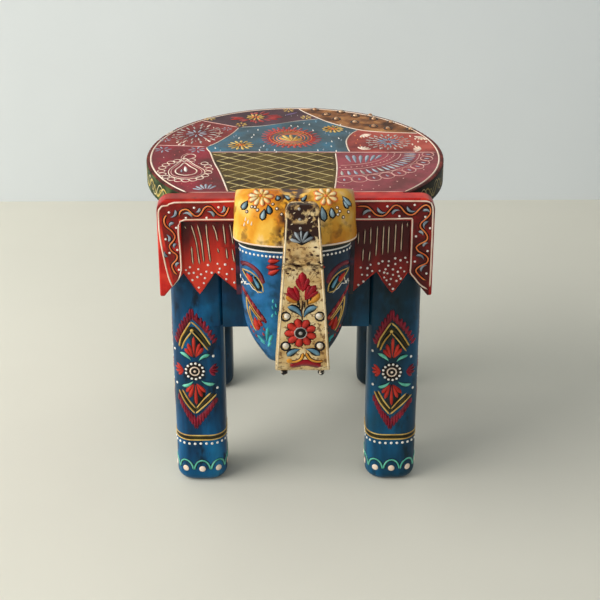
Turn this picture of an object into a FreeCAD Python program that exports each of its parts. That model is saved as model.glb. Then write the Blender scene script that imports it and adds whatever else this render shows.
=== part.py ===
import FreeCAD, Part
import math
import os

os.makedirs("parts", exist_ok=True)

# An elephant-shaped low table, in millimetres.
# +X is the right of someone facing the head, -Y is the side of the head and +Z is up.
# The floor is Z = 0, and X = Y = 0 is the middle of the table's overall box.

# Round seat board
seat_radius = 142.5
seat_height = 305.0
seat_thickness = 22.0
seat_edge_round = 1.5
seat_side_overhang = 17.5
seat_back_overhang = 1.5
seat_cut = 98.0

# Carved cloth, four boards that wrap the body
cloth_drop = 96.5
valance_thickness = 15.0
flap_thickness = 28.0
band_height = 22.0
band_width = 21.5
end_recess = 5.0
side_recess = 4.0
corner_round = 12.0
blunt_tip = 4.0
cloth_edge_round = 1.5
tab_count = 7
tab_height = 22.0
inner_tab_share = 0.7
inner_tab_end_share = 0.45
fold_step = 2.5
fold_step_height = 26.0
fold_step_share = 0.86
shoulder_cover = 8.0

# Body box between the legs
body_drop = 133.0
apron_thickness = 18.0
batten_height = 20.0
batten_depth = 22.0

# Legs
leg_width = 49.0
leg_end_inset = 10.0
leg_side_inset = 7.5
leg_bow = 1.5
leg_corner_round = 17.0
leg_joint_round = 5.0
leg_foot_round = 9.0

# Head
head_offset = -1.0
head_width = 107.5
head_side_depth = 26.0
head_bulge = 24.0
head_drop = 148.0
crown_rise = 16.5
crown_back = 17.0
crown_fall = 8.0
valley_radius = 34.0
valley_depth = 3.0
cap_drop = 27.0
face_inset = 4.5
neck_width = 80.0

# Ears
ear_thickness = 4.0
ear_length = 25.0
ear_height = 64.0
ear_bow = 3.0
ear_tip_share = 0.3
ear_lobe_share = 0.2

# Raised trunk
trunk_offset = 5.5
trunk_reach = 28.0
trunk_thickness = 14.0
trunk_tip_thickness = 10.0
trunk_foot_width = 49.0
trunk_tip_width = 28.5
trunk_bend_radius = 22.0
trunk_mortise_depth = 23.0
trunk_drop = 140.5
trunk_rise = 19.0
trunk_tip_lean = 16.0
crease_drop = 30.0
crease_depth = 2.0
crease_width = 5.0
trunk_edge_round = 1.2
trunk_tip_round = 7.0
loop_radius = 6.5
loop_drop = 96.0

# Tail
tail_width = 14.0
tail_thickness = 8.0
tail_length = 122.0
tail_tuft_width = 26.0
tail_tuft_length = 40.0
tail_drop = 5.0
tail_neck_share = 0.7

# Dome-headed studs
top_stud_radius = 2.4
top_stud_height = 1.7
trunk_stud_radius = 2.7
trunk_stud_height = 2.4
trunk_stud_rise = 11.5
trunk_stud_pitch = 29.0
trunk_stud_rows = 2
trunk_stud_share = 0.67
trunk_bead_height = 4.5
trunk_bead_turn = math.radians(26)
stud_shank_radius = 0.8
stud_shank_length = 8.0

# Fasteners
dowel_radius = 4.0
dowel_length = 40.0
head_dowel_radius = 5.0
head_dowel_length = 46.0
trunk_dowel_radius = 3.0
trunk_dowel_length = 26.0
peg_radius = 2.5
peg_length = 16.0
screw_radius = 2.0
screw_head_radius = 4.0
screw_head_height = 2.5
seat_screw_length = 32.0
flap_screw_length = 44.0
valance_screw_length = 20.0
head_screw_length = 55.0

# Clearances and the overrun of every cut
fit_clearance = 0.1
blind_clearance = 0.5
overrun = 2.0

# Places of the top studs, as shares of the seat's radius from its middle
top_stud_shares = [
    (0.15, 0.95), (0.23, 0.84), (0.30, 0.74), (0.34, 0.90), (0.44, 0.81), (0.43, 0.67),
    (0.55, 0.82), (0.57, 0.74), (0.56, 0.58), (0.69, 0.67), (0.66, 0.53), (0.82, 0.52),
]

# Slices of the face from the chin up, and of the cap from the band up.
# Each has its share of the height, of the half width, of the depth and of the sides' depth.
face_shares = [
    (0.00, 0.52, 0.68, 0.80), (0.11, 0.69, 0.77, 0.85), (0.27, 0.87, 0.87, 0.92),
    (0.46, 0.96, 0.93, 1.00), (0.70, 0.99, 0.965, 1.00), (1.00, 1.00, 0.97, 1.00),
]
cap_shares = [
    (0.00, 1.00, 1.00, 1.00), (0.35, 1.00, 0.985, 1.00), (0.62, 0.995, 0.92, 0.95),
    (0.82, 0.965, 0.79, 0.80), (0.94, 0.88, 0.62, 0.60), (1.00, 0.74, 0.46, 0.40),
]

# Sizes, heights and planes that follow from the sizes above.
# The seat's straight cut is seat_cut from its middle, against the front valance.
cloth_width = 2 * (seat_radius - seat_side_overhang)
cloth_depth = valance_thickness + seat_cut + seat_radius - seat_back_overhang
seat_bottom = seat_height - seat_thickness
cloth_tip = seat_height - cloth_drop
cloth_notch = cloth_tip + tab_height
shoulder = cloth_notch + shoulder_cover
body_bottom = seat_height - body_drop
head_depth = head_side_depth + head_bulge
crown_height = seat_height + crown_rise
chin_height = seat_height - head_drop
cap_height = seat_height - cap_drop
front_reach = trunk_stud_height + trunk_reach + head_depth
total_depth = front_reach + cloth_depth + seat_back_overhang
cloth_front = front_reach - total_depth / 2
cloth_back = cloth_front + cloth_depth
cloth_middle = cloth_front + cloth_depth / 2
cloth_side = cloth_width / 2
seat_middle = total_depth / 2 - seat_radius
seat_front = cloth_front + valance_thickness
valance_side = cloth_side - flap_thickness
band_inner = cloth_side - band_width
tab_width = 2 * band_inner / tab_count
tab_notch = band_inner - tab_width
tab_middle = band_inner - tab_width / 2
leg_front = cloth_front + leg_end_inset
leg_outer = cloth_side - leg_side_inset
leg_inner = leg_outer - leg_width
neck_left = head_offset - neck_width / 2
neck_right = head_offset + neck_width / 2
trunk_front = trunk_stud_height - total_depth / 2
trunk_foot = seat_height - trunk_drop
trunk_seat = cloth_front - head_depth + trunk_mortise_depth
tail_top = shoulder - tail_drop
rump = cloth_back - leg_end_inset


def point(x, y, z):
    return FreeCAD.Vector(x, y, z)


along_x = point(1, 0, 0)
along_y = point(0, 1, 0)
along_z = point(0, 0, 1)


def block(x_range, y_range, z_range):
    size = [high - low for low, high in (x_range, y_range, z_range)]
    corner = point(x_range[0], y_range[0], z_range[0])
    return Part.makeBox(size[0], size[1], size[2], corner)


def prism(points, travel):
    """A flat outline of straight edges, carried along a vector."""
    wire = Part.makePolygon(points + points[:1])
    return Part.Face(wire).extrude(travel)


def curved_prism(edges, travel):
    """A flat outline of straight and curved edges, carried along a vector."""
    wire = Part.Wire(Part.__sortEdges__(edges))
    return Part.Face(wire).extrude(travel)


def line(start, end):
    return Part.makeLine(start, end)


def bow(start, end, rise, side):
    """An arc from start to end whose middle stands off its chord by rise, towards side."""
    middle = (start + end) * 0.5 + side.normalize() * rise
    return Part.Arc(start, middle, end).toShape()


def joined(shapes):
    return shapes[0].fuse(shapes[1:]).removeSplitter()


def softened(shape, radius, wanted):
    """The only solid of a shape, with the edges whose boxes are wanted rounded."""
    solid = shape.Solids[0]
    edges = [edge for edge in solid.Edges if wanted(edge.BoundBox)]
    return solid.makeFillet(radius, edges)


def longest(box):
    return max(box.XLength, box.YLength, box.ZLength)


def mirrored_x(shape):
    return shape.mirror(point(0, 0, 0), along_x)


def mirrored_y(shape):
    """The same piece at the other end of the cloth."""
    return shape.mirror(point(0, cloth_middle, 0), along_y)


def rod(radius, middle, axis, length):
    start = middle - axis * (length / 2)
    return Part.makeCylinder(radius, length, start, axis)


def rod_hole(radius, middle, axis, length):
    """The drilled room for a rod."""
    return rod(radius + fit_clearance, middle, axis, length + 2 * blind_clearance)


def screw(head, axis, length, clearance=0):
    """A countersunk wood screw whose head is flush at the given point and points along axis."""
    head_radius = screw_head_radius + clearance
    shank_radius = screw_radius + clearance
    cone = Part.makeCone(head_radius, shank_radius, screw_head_height, head, axis)
    shank = Part.makeCylinder(shank_radius, length + clearance, head, axis)
    return joined([cone, shank])


def screw_hole(head, axis, length):
    return screw(head, axis, length, fit_clearance)


def stud(base, outward, radius, height, clearance=0):
    """A domed head on a thin shank, driven in against outward."""
    sphere_radius = (radius * radius + height * height) / (2 * height)
    ball = Part.makeSphere(sphere_radius, base + outward * (height - sphere_radius))
    outside = Part.makeCylinder(2 * sphere_radius, 2 * sphere_radius, base, outward)
    length = stud_shank_length + clearance
    shank = Part.makeCylinder(stud_shank_radius + clearance, length, base - outward * length, outward)
    return joined([ball.common(outside), shank])


# Fastener places

def frame_dowel_places():
    """Two dowels at each end of the four aprons, as middles and axes."""
    heights = [body_bottom + apron_thickness, shoulder - apron_thickness]
    places = []
    for side in (-1, 1):
        for height in heights:
            front = point(side * leg_inner, leg_front + apron_thickness / 2, height)
            back = point(side * leg_inner, rump - apron_thickness / 2, height)
            places.append((front, along_x))
            places.append((back, along_x))
            flank_x = side * (leg_outer - apron_thickness / 2)
            near = point(flank_x, leg_front + leg_width, height)
            far = point(flank_x, rump - leg_width, height)
            places.append((near, along_y))
            places.append((far, along_y))
    return places


def seat_screw_places():
    """Screw heads on the undersides of the two battens, driven up."""
    near = leg_front + apron_thickness + batten_depth / 2
    far = rump - apron_thickness - batten_depth / 2
    return [
        (point(side * leg_inner / 2, y, seat_bottom - batten_height), along_z)
        for side in (-1, 1)
        for y in (near, far)
    ]


def flap_screw_places():
    """Screw heads on the inner faces of the leg posts, driven outwards."""
    height = (shoulder + seat_bottom) / 2
    near = leg_front + leg_width / 2
    far = rump - leg_width / 2
    return [
        (point(side * leg_inner, y, height), along_x * side)
        for side in (-1, 1)
        for y in (near, far)
    ]


def valance_screw_places():
    """Screw heads on the inner faces of the chest and rump boards, driven outwards."""
    height = shoulder + 2 * screw_head_radius
    near = leg_front + apron_thickness
    far = rump - apron_thickness
    return [
        (point(side * (leg_inner - tab_width / 2), y, height), way)
        for side in (-1, 1)
        for y, way in ((near, -along_y), (far, along_y))
    ]


def head_screw_places():
    height = cloth_tip
    return [
        (point(head_offset + side * neck_width / 4, leg_front + apron_thickness, height), -along_y)
        for side in (-1, 1)
    ]


def head_dowel_places():
    height = body_bottom + apron_thickness
    return [
        (point(head_offset + side * neck_width / 4, leg_front, height), along_y)
        for side in (-1, 1)
    ]


def trunk_dowel_places():
    """One dowel above the other through the root of the trunk."""
    low = trunk_foot + trunk_bend_radius / 2
    high = low + trunk_bend_radius
    return [(point(trunk_offset, trunk_seat, height), along_y) for height in (low, high)]


def ear_peg_places():
    y = cloth_front - ear_length / 2
    height = cap_height - ear_length
    reach = head_width / 2 - peg_length / 2 - (face_inset - ear_thickness)
    return [(point(head_offset + side * reach, y, height), along_x) for side in (-1, 1)]


def tail_peg_places():
    middle = rump + tail_thickness - peg_length / 2
    heights = (tail_top - tail_width / 2, body_bottom + tail_width / 2)
    return [(point(0, middle, height), along_y) for height in heights]


def rods(places, radius, length):
    return Part.Compound([rod(radius, middle, axis, length) for middle, axis in places])


def rod_holes(places, radius, length):
    return [rod_hole(radius, middle, axis, length) for middle, axis in places]


def screws(places, length):
    return Part.Compound([screw(head, axis, length) for head, axis in places])


def screw_holes(places, length):
    return [screw_hole(head, axis, length) for head, axis in places]


# Seat

def top_stud_places():
    return [
        point(x * seat_radius, seat_middle + y * seat_radius, seat_height)
        for x, y in top_stud_shares
    ]


def top_stud_solids(clearance=0):
    return [
        stud(place, along_z, top_stud_radius, top_stud_height, clearance)
        for place in top_stud_places()
    ]


def seat_board():
    """The round board, cut straight where the front valance stands."""
    board = Part.makeCylinder(seat_radius, seat_thickness, point(0, seat_middle, seat_bottom), along_z)
    rims = [edge for edge in board.Edges if edge.Closed]
    board = board.makeFillet(seat_edge_round, rims)
    front = block(
        (-seat_radius - overrun, seat_radius + overrun),
        (seat_middle - seat_radius - overrun, seat_front),
        (seat_bottom - overrun, seat_height + overrun),
    )
    holes = screw_holes(seat_screw_places(), seat_screw_length)
    return board.cut([front] + holes + top_stud_solids(fit_clearance))


# Carved cloth

def valance(top, with_neck):
    """One end of the cloth: a plain band, and a recessed fringe of pointed tabs under it."""
    back = cloth_front + valance_thickness
    face = cloth_front + end_recess
    band = block((-valance_side, valance_side), (cloth_front, back), (top - band_height, top))
    panel = block((-valance_side, valance_side), (face, back), (shoulder, top - band_height))
    fringe = block((-valance_side, valance_side), (face, leg_front), (cloth_tip, shoulder))
    board = joined([band, panel, fringe])
    if with_neck:
        board = board.fuse(fold_steps(top)).removeSplitter()
        gaps = [tab_gap(side) for side in (-1, 1)] + [neck_gap()]
    else:
        gaps = [row_gap(-band_inner, band_inner, along_x, along_y)]
    return softened(board.cut(gaps), cloth_edge_round, is_band_edge)


def is_band_edge(box):
    """True for the long edges of the band's face."""
    return box.YMax < cloth_front + fit_clearance and box.XLength > valance_side


def fold_steps(top):
    """The upper layer of the cloth beside the neck, a little proud of the fringe."""
    z_range = (top - band_height - fold_step_height, top - band_height)
    face = cloth_front + end_recess
    left = neck_left - fold_step_share * (tab_notch + neck_left)
    right = neck_right + fold_step_share * (tab_notch - neck_right)
    return [
        block((left, neck_left), (face - fold_step, face), z_range),
        block((neck_right, right), (face - fold_step, face), z_range),
    ]


def tab_gap(side):
    """What is cut away under the two tabs on one side of the neck."""
    neck = abs(head_offset + side * neck_width / 2)
    inner = tab_notch - inner_tab_share * (tab_notch - neck)
    low = cloth_tip - overrun
    outline = [
        (valance_side + overrun, low),
        (valance_side + overrun, tab_edge(valance_side + overrun)),
        (tab_middle, cloth_tip),
        (tab_notch, cloth_notch),
        (inner, cloth_tip),
        (neck, cloth_tip + inner_tab_end_share * tab_height),
        (neck, low),
    ]
    points = [point(side * x, cloth_front - overrun, z) for x, z in outline]
    return prism(points, along_y * (valance_thickness + 2 * overrun))


def tab_edge(x):
    """How high the end tab's outer edge is at x, where it crosses from the valance to the flap."""
    return cloth_tip + tab_height * (x - tab_middle) / (tab_width / 2)


def neck_gap():
    return block(
        (neck_left, neck_right),
        (cloth_front - overrun, leg_front + overrun),
        (cloth_tip - overrun, cloth_notch),
    )


def row_gap(start, end, run, through):
    """What is cut away under a plain row of pointed tabs from start to end along run."""
    count = round((end - start) / tab_width)
    pitch = (end - start) / count
    outline = [(start, cloth_tip - overrun), (start, cloth_notch)]
    for index in range(count):
        outline.append((start + (index + 0.5) * pitch, cloth_tip))
        outline.append((start + (index + 1) * pitch, cloth_notch))
    outline.append((end, cloth_tip - overrun))
    near = through * (cloth_front - cloth_width)
    points = [run * place + along_z * height + near for place, height in outline]
    return prism(points, through * (2 * cloth_width + cloth_depth))


def flap():
    """The right side of the cloth: a board over the flank, with a thin skirt outside the legs."""
    full_y = (cloth_front, cloth_back)
    board = block((valance_side, cloth_side), full_y, (shoulder, seat_bottom))
    skirt = block((leg_outer, cloth_side), full_y, (cloth_tip, shoulder))
    front_end = block((valance_side, cloth_side), (cloth_front, leg_front), (cloth_tip, shoulder))
    back_end = mirrored_y(front_end)
    horn = block((valance_side, cloth_side), (cloth_front, seat_front), (seat_bottom, seat_height))
    horn_edge = [edge for edge in horn.Edges if is_horn_corner(edge)]
    whole = joined([board, skirt, front_end, back_end, horn.makeFillet(corner_round, horn_edge)])
    side_face = block(
        (cloth_side - side_recess, cloth_side + overrun),
        (cloth_front + band_width, cloth_back - band_width),
        (cloth_tip - overrun, seat_bottom - band_height),
    )
    front_face = block(
        (valance_side - overrun, band_inner),
        (cloth_front - overrun, cloth_front + end_recess),
        (cloth_tip - overrun, seat_height - band_height),
    )
    back_face = block(
        (valance_side - overrun, band_inner),
        (cloth_back - end_recess, cloth_back + overrun),
        (cloth_tip - overrun, seat_bottom - band_height),
    )
    side_row = row_gap(cloth_front + band_width, cloth_back - band_width, along_y, along_x)
    cuts = [side_face, front_face, back_face, side_row, end_slant(), side_slant(), mirrored_y(side_slant())]
    board = softened(whole.cut(cuts), cloth_edge_round, is_flap_outside)
    return board.cut(screw_holes(flap_screw_places(), flap_screw_length))


def is_flap_outside(box):
    """True for the edges of the flap's outer side and of its front, but not at the glue joint."""
    on_side = box.XMin > cloth_side - fit_clearance
    on_front = box.YMax < cloth_front + fit_clearance
    at_joint = box.XMax < valance_side + fit_clearance
    return (on_side or on_front) and not at_joint and longest(box) > 2 * cloth_edge_round


def is_horn_corner(edge):
    """True for the outer top edge of the part that rises beside the seat."""
    middle = edge.CenterOfMass
    return middle.x > cloth_side - fit_clearance and middle.z > seat_height - fit_clearance


def end_slant():
    """The slanted lower edge of the cloth's ends, seen from the front."""
    outline = [
        (valance_side - overrun, cloth_tip - overrun),
        (valance_side - overrun, tab_edge(valance_side - overrun)),
        (band_inner, cloth_notch),
        (cloth_side - blunt_tip, cloth_tip),
        (cloth_side - blunt_tip, cloth_tip - overrun),
    ]
    points = [point(x, cloth_front - overrun, z) for x, z in outline]
    return prism(points, along_y * (cloth_depth + 2 * overrun))


def side_slant():
    """The same slant at the front corner, seen from the side."""
    outline = [
        (cloth_front + blunt_tip, cloth_tip - overrun),
        (cloth_front + blunt_tip, cloth_tip),
        (cloth_front + band_width, cloth_notch),
        (cloth_front + band_width, cloth_tip - overrun),
    ]
    points = [point(valance_side - overrun, y, z) for y, z in outline]
    return prism(points, along_x * (flap_thickness + 2 * overrun))


# Body box

def chest():
    """The board between the front legs, stepped back above the shoulder for the valance."""
    back = leg_front + apron_thickness
    lower = block((-leg_inner, leg_inner), (leg_front, back), (body_bottom, shoulder))
    upper = block((-leg_inner, leg_inner), (seat_front, back), (shoulder, seat_bottom))
    return joined([lower, upper])


def end_apron(board):
    holes = rod_holes(frame_dowel_places(), dowel_radius, dowel_length)
    holes += rod_holes(head_dowel_places(), head_dowel_radius, head_dowel_length)
    holes += screw_holes(head_screw_places(), head_screw_length)
    holes += screw_holes(valance_screw_places(), valance_screw_length)
    return board.cut(holes)


def flank():
    """The board between the legs on the right side, under the flap."""
    board = block(
        (leg_outer - apron_thickness, leg_outer),
        (leg_front + leg_width, rump - leg_width),
        (body_bottom, shoulder),
    )
    return board.cut(rod_holes(frame_dowel_places(), dowel_radius, dowel_length))


def batten():
    """The front strip that carries the seat's screws."""
    start = leg_front + apron_thickness
    bottom = seat_bottom - batten_height
    strip = block((-leg_inner, leg_inner), (start, start + batten_depth), (bottom, seat_bottom))
    return strip.cut(screw_holes(seat_screw_places(), seat_screw_length))


# Legs

def leg_post(low, high):
    """A stretch of the front right leg: a square post, bowed on its two outer sides."""
    back = leg_front + leg_width
    inner_back = point(leg_inner, back, low)
    outer_back = point(leg_outer - leg_bow, back, low)
    outer_front = point(leg_outer - leg_bow, leg_front + leg_bow, low)
    inner_front = point(leg_inner, leg_front + leg_bow, low)
    edges = [
        line(inner_back, outer_back),
        bow(outer_back, outer_front, leg_bow, point(1, 0, 0)),
        bow(outer_front, inner_front, leg_bow, point(0, -1, 0)),
        line(inner_front, inner_back),
    ]
    return curved_prism(edges, along_z * (high - low))


def is_upright(box):
    return box.ZLength > leg_width


def is_free_corner(box):
    """True at the leg's outer front corner, which no apron meets."""
    return box.XMin > leg_inner + leg_width / 4 and box.YMax < leg_front + leg_width / 2


def is_free_upright(box):
    return is_upright(box) and is_free_corner(box)


def is_joint_upright(box):
    return is_upright(box) and not is_free_corner(box)


def is_sole(box):
    return box.ZMax < fit_clearance


def leg():
    """The front right leg, rounder below the aprons and thinner above the shoulder."""
    lower = softened(leg_post(0, body_bottom), leg_corner_round, is_upright)
    lower = softened(lower, leg_foot_round, is_sole)
    upper = softened(leg_post(body_bottom, seat_bottom), leg_corner_round, is_free_upright)
    upper = softened(upper, leg_joint_round, is_joint_upright)
    back = leg_front + leg_width
    side_room = block(
        (valance_side, leg_outer + overrun),
        (leg_front - overrun, back + overrun),
        (shoulder, seat_bottom + overrun),
    )
    end_room = block(
        (leg_inner - overrun, leg_outer + overrun),
        (leg_front - overrun, seat_front),
        (shoulder, seat_bottom + overrun),
    )
    holes = rod_holes(frame_dowel_places(), dowel_radius, dowel_length)
    holes += screw_holes(flap_screw_places(), flap_screw_length)
    return joined([lower, upper]).cut([side_room, end_room] + holes)


# Head

def head_section(half_width, depth, side_depth, height):
    """A level slice of the head: a straight back, straight sides and a rounded face."""
    start = cloth_front - side_depth
    centre = point(head_offset, start, height)
    front_right = centre + along_x * half_width
    front_left = centre - along_x * half_width
    back_right = point(head_offset + half_width, cloth_front, height)
    back_left = point(head_offset - half_width, cloth_front, height)
    face = Part.Ellipse(front_right, centre - along_y * (depth - side_depth), centre)
    edges = [
        line(back_left, back_right),
        line(back_right, front_right),
        face.toShape(0, math.pi),
        line(front_left, back_left),
    ]
    return Part.Wire(edges)


def head_loft(low, high, half_width, shares):
    """A smooth solid through slices whose sizes are shares of the head's."""
    slices = [
        head_section(
            width_share * half_width,
            depth_share * head_depth,
            side_share * head_side_depth,
            low + height_share * (high - low),
        )
        for height_share, width_share, depth_share, side_share in shares
    ]
    return Part.makeLoft(slices, True, False)


def face_room():
    """Keeps the sides of the face flat where the ears lie on them."""
    half = head_width / 2 - face_inset
    return block(
        (head_offset - half, head_offset + half),
        (cloth_front - head_width, cloth_front),
        (chin_height, cap_height),
    )


def nape_cut():
    """The slope from the crown down to the seat behind it."""
    outline = [
        (overrun, crown_height - crown_fall - overrun * crown_fall / crown_back),
        (-crown_back, crown_height),
        (-crown_back, crown_height + overrun),
        (overrun, crown_height + overrun),
    ]
    points = [point(-head_width, cloth_front + back, z) for back, z in outline]
    return prism(points, along_x * (2 * head_width))


def head_valley():
    """The dip down the middle of the forehead, between its two domes."""
    start = point(head_offset, cloth_front + overrun, crown_height + valley_radius - valley_depth)
    return Part.makeCylinder(valley_radius, head_depth + 2 * overrun, start, -along_y)


def bare_head():
    face = head_loft(chin_height, cap_height, head_width / 2 - face_inset, face_shares)
    face = face.common(face_room())
    cap = head_loft(cap_height, crown_height, head_width / 2, cap_shares)
    cap = cap.cut([nape_cut(), head_valley()])
    neck = block((neck_left, neck_right), (cloth_front, leg_front), (body_bottom, cloth_notch))
    return joined([face, cap, neck])


def head():
    holes = rod_holes(head_dowel_places(), head_dowel_radius, head_dowel_length)
    holes += rod_holes(trunk_dowel_places(), trunk_dowel_radius, trunk_dowel_length)
    holes += rod_holes(ear_peg_places(), peg_radius, peg_length)
    holes += screw_holes(head_screw_places(), head_screw_length)
    return bare_head().cut(holes + [trunk_mortise()])


def ear(side):
    """A flat leaf that lies on the side of the face under the cap."""
    inner = head_width / 2 - face_inset
    x = head_offset + side * inner

    def place(forward, z):
        return point(x, cloth_front - forward, z)
    tip = cap_height - ear_height
    back_top = place(0, cap_height)
    front_top = place(ear_length, cap_height)
    lobe = place(ear_tip_share * ear_length, tip)
    back_low = place(0, tip + ear_lobe_share * ear_height)
    edges = [
        line(back_top, front_top),
        bow(front_top, lobe, ear_bow, point(0, -1, 0)),
        bow(lobe, back_low, ear_lobe_share * ear_bow, point(0, 1, -1)),
        line(back_low, back_top),
    ]
    leaf = curved_prism(edges, along_x * (side * ear_thickness))
    return leaf.cut(rod_holes(ear_peg_places(), peg_radius, peg_length))


# Trunk

def trunk_side_outline():
    """A J seen from the side: the root at the chin, the bend, and the upright with its tip."""
    def place(back, z):
        return point(-head_width, trunk_front + back, z)
    root = trunk_reach + trunk_mortise_depth
    bend_top = trunk_foot + trunk_bend_radius
    crease = seat_height - crease_drop
    tip = seat_height + trunk_rise
    loop = seat_height - loop_drop
    loop_back = trunk_thickness + 2 * loop_radius
    inner_tip = trunk_tip_lean + trunk_tip_thickness
    edges = [
        line(place(root, trunk_foot), place(trunk_bend_radius, trunk_foot)),
        bow(
            place(trunk_bend_radius, trunk_foot),
            place(0, bend_top),
            trunk_bend_radius * (1 - 1 / math.sqrt(2)),
            point(0, -1, -1),
        ),
        line(place(0, bend_top), place(0, crease)),
        line(place(0, crease), place(trunk_tip_lean, tip)),
        line(place(trunk_tip_lean, tip), place(inner_tip, tip)),
        line(place(inner_tip, tip), place(trunk_thickness, crease)),
        line(place(trunk_thickness, crease), place(trunk_thickness, loop + loop_radius)),
        bow(
            place(trunk_thickness, loop + loop_radius),
            place(loop_back, loop + loop_radius),
            loop_radius,
            point(0, 0, -1),
        ),
        line(place(loop_back, loop + loop_radius), place(root, loop + loop_radius)),
        line(place(root, loop + loop_radius), place(root, trunk_foot)),
    ]
    return curved_prism(edges, along_x * (2 * head_width))


def trunk_taper(clearance=0):
    """Wide at the foot and narrow at the tip, seen from the front."""
    tip = seat_height + trunk_rise
    foot_half = trunk_foot_width / 2 + clearance
    tip_half = trunk_tip_width / 2 + clearance
    outline = [(-foot_half, trunk_foot), (foot_half, trunk_foot), (tip_half, tip), (-tip_half, tip)]
    points = [point(trunk_offset + x, trunk_front - overrun, z) for x, z in outline]
    return prism(points, along_y * (total_depth / 2))


def trunk_mortise():
    """The room in the lower face that the root of the trunk is let into."""
    room = block(
        (-head_width, head_width),
        (trunk_front, trunk_seat),
        (trunk_foot, seat_height - loop_drop + loop_radius),
    )
    return trunk_taper(fit_clearance).common(room)


def trunk_front_outline():
    """The taper with its tip's corners rounded."""
    solid = trunk_taper()
    corners = [
        edge for edge in solid.Edges
        if edge.BoundBox.YLength > trunk_reach and edge.CenterOfMass.z > seat_height
    ]
    return solid.makeFillet(trunk_tip_round, corners)


def is_trunk_side(box):
    """True for the edges that run round the trunk's two flat sides, clear of its root."""
    return box.XLength < trunk_foot_width / 4 and box.YMax < trunk_seat - overrun


def crease_groove():
    height = seat_height - crease_drop
    outline = [
        (-overrun, height - crease_width / 2),
        (crease_depth, height),
        (-overrun, height + crease_width / 2),
    ]
    points = [point(-head_width, trunk_front + back, z) for back, z in outline]
    return prism(points, along_x * (2 * head_width))


def trunk_half_width(height):
    """Half the trunk's width at a height, seen from the front."""
    share = (height - trunk_foot) / (seat_height + trunk_rise - trunk_foot)
    return (trunk_foot_width + share * (trunk_tip_width - trunk_foot_width)) / 2


def trunk_stud_places():
    """Two pairs of studs and, under the bend, a pair of beads: places, outward ways and heights."""
    bend_top = trunk_foot + trunk_bend_radius
    under = point(0, -math.sin(trunk_bead_turn), -math.cos(trunk_bead_turn))
    centre = point(trunk_offset, trunk_front + trunk_bend_radius, bend_top)
    places = []
    for side in (-1, 1):
        for row in range(trunk_stud_rows):
            height = bend_top + trunk_stud_rise + row * trunk_stud_pitch
            x = trunk_offset + side * trunk_stud_share * trunk_half_width(height)
            places.append((point(x, trunk_front, height), -along_y, trunk_stud_height))
        x = side * trunk_stud_share * trunk_half_width(trunk_foot)
        base = centre + along_x * x + under * trunk_bend_radius
        places.append((base, under, trunk_bead_height))
    return places


def trunk_stud_solids(clearance=0):
    return [
        stud(base, way, trunk_stud_radius, height, clearance)
        for base, way, height in trunk_stud_places()
    ]


def trunk():
    solid = trunk_side_outline().common(trunk_front_outline())
    solid = softened(solid, trunk_edge_round, is_trunk_side)
    solid = solid.cut(crease_groove())
    return solid.cut(rod_holes(trunk_dowel_places(), trunk_dowel_radius, trunk_dowel_length)
                     + trunk_stud_solids(fit_clearance))


# Tail

def tail():
    """A narrow strip with a leaf-shaped tuft, pegged to the rump below the cloth."""
    tuft_top = tail_top - tail_length + tail_tuft_length
    bottom = tail_top - tail_length
    neck = tail_neck_share * tail_width / 2
    swell = (tail_tuft_width - tail_width) / 2
    edges = []
    for side in (-1, 1):
        top = point(side * tail_width / 2, rump, tail_top)
        narrow = point(side * neck, rump, tuft_top)
        end = point(0, rump, bottom)
        edges += [line(top, narrow), bow(narrow, end, swell, along_x * side)]
    edges.append(line(point(-tail_width / 2, rump, tail_top), point(tail_width / 2, rump, tail_top)))
    solid = curved_prism(edges, along_y * tail_thickness)
    return solid.cut(rod_holes(tail_peg_places(), peg_radius, peg_length))


def tail_slot():
    """The slot in the back fringe that the tail comes out of."""
    half = tail_width / 2 + fit_clearance
    return block(
        (-half, half),
        (rump - overrun, cloth_back + overrun),
        (cloth_tip - overrun, tail_top + fit_clearance),
    )


# Every piece under its own name

def build():
    right_flap = flap()
    right_leg = leg()
    chest_board = chest()
    front_valance = valance(seat_height, True)
    back_valance = mirrored_y(valance(seat_bottom, False))
    valance_holes = screw_holes(valance_screw_places(), valance_screw_length)
    tail_holes = rod_holes(tail_peg_places(), peg_radius, peg_length)
    return {
        "seat_top": seat_board(),
        "top_studs": Part.Compound(top_stud_solids()),
        "front_valance": front_valance.cut(valance_holes),
        "back_valance": back_valance.cut(valance_holes + [tail_slot()]),
        "left_flap": mirrored_x(right_flap),
        "right_flap": right_flap,
        "chest_board": end_apron(chest_board),
        "rump_board": end_apron(mirrored_y(chest_board)).cut(tail_holes),
        "left_flank": mirrored_x(flank()),
        "right_flank": flank(),
        "front_batten": batten(),
        "back_batten": mirrored_y(batten()),
        "leg_front_left": mirrored_x(right_leg),
        "leg_front_right": right_leg,
        "leg_back_left": mirrored_x(mirrored_y(right_leg)),
        "leg_back_right": mirrored_y(right_leg),
        "head_block": head(),
        "ear_left": ear(-1),
        "ear_right": ear(1),
        "trunk": trunk(),
        "trunk_studs": Part.Compound(trunk_stud_solids()),
        "tail": tail(),
        "frame_dowels": rods(frame_dowel_places(), dowel_radius, dowel_length),
        "head_dowels": rods(head_dowel_places(), head_dowel_radius, head_dowel_length),
        "trunk_dowels": rods(trunk_dowel_places(), trunk_dowel_radius, trunk_dowel_length),
        "ear_pegs": rods(ear_peg_places(), peg_radius, peg_length),
        "tail_pegs": rods(tail_peg_places(), peg_radius, peg_length),
        "seat_screws": screws(seat_screw_places(), seat_screw_length),
        "flap_screws": screws(flap_screw_places(), flap_screw_length),
        "valance_screws": screws(valance_screw_places(), valance_screw_length),
        "head_screws": screws(head_screw_places(), head_screw_length),
    }


for name, shape in build().items():
    shape.exportStep("parts/" + name + ".step")
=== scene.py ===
import functools
import math
import random

import bmesh
import bpy
from mathutils import Matrix, Vector
from mathutils.bvhtree import BVHTree


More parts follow.
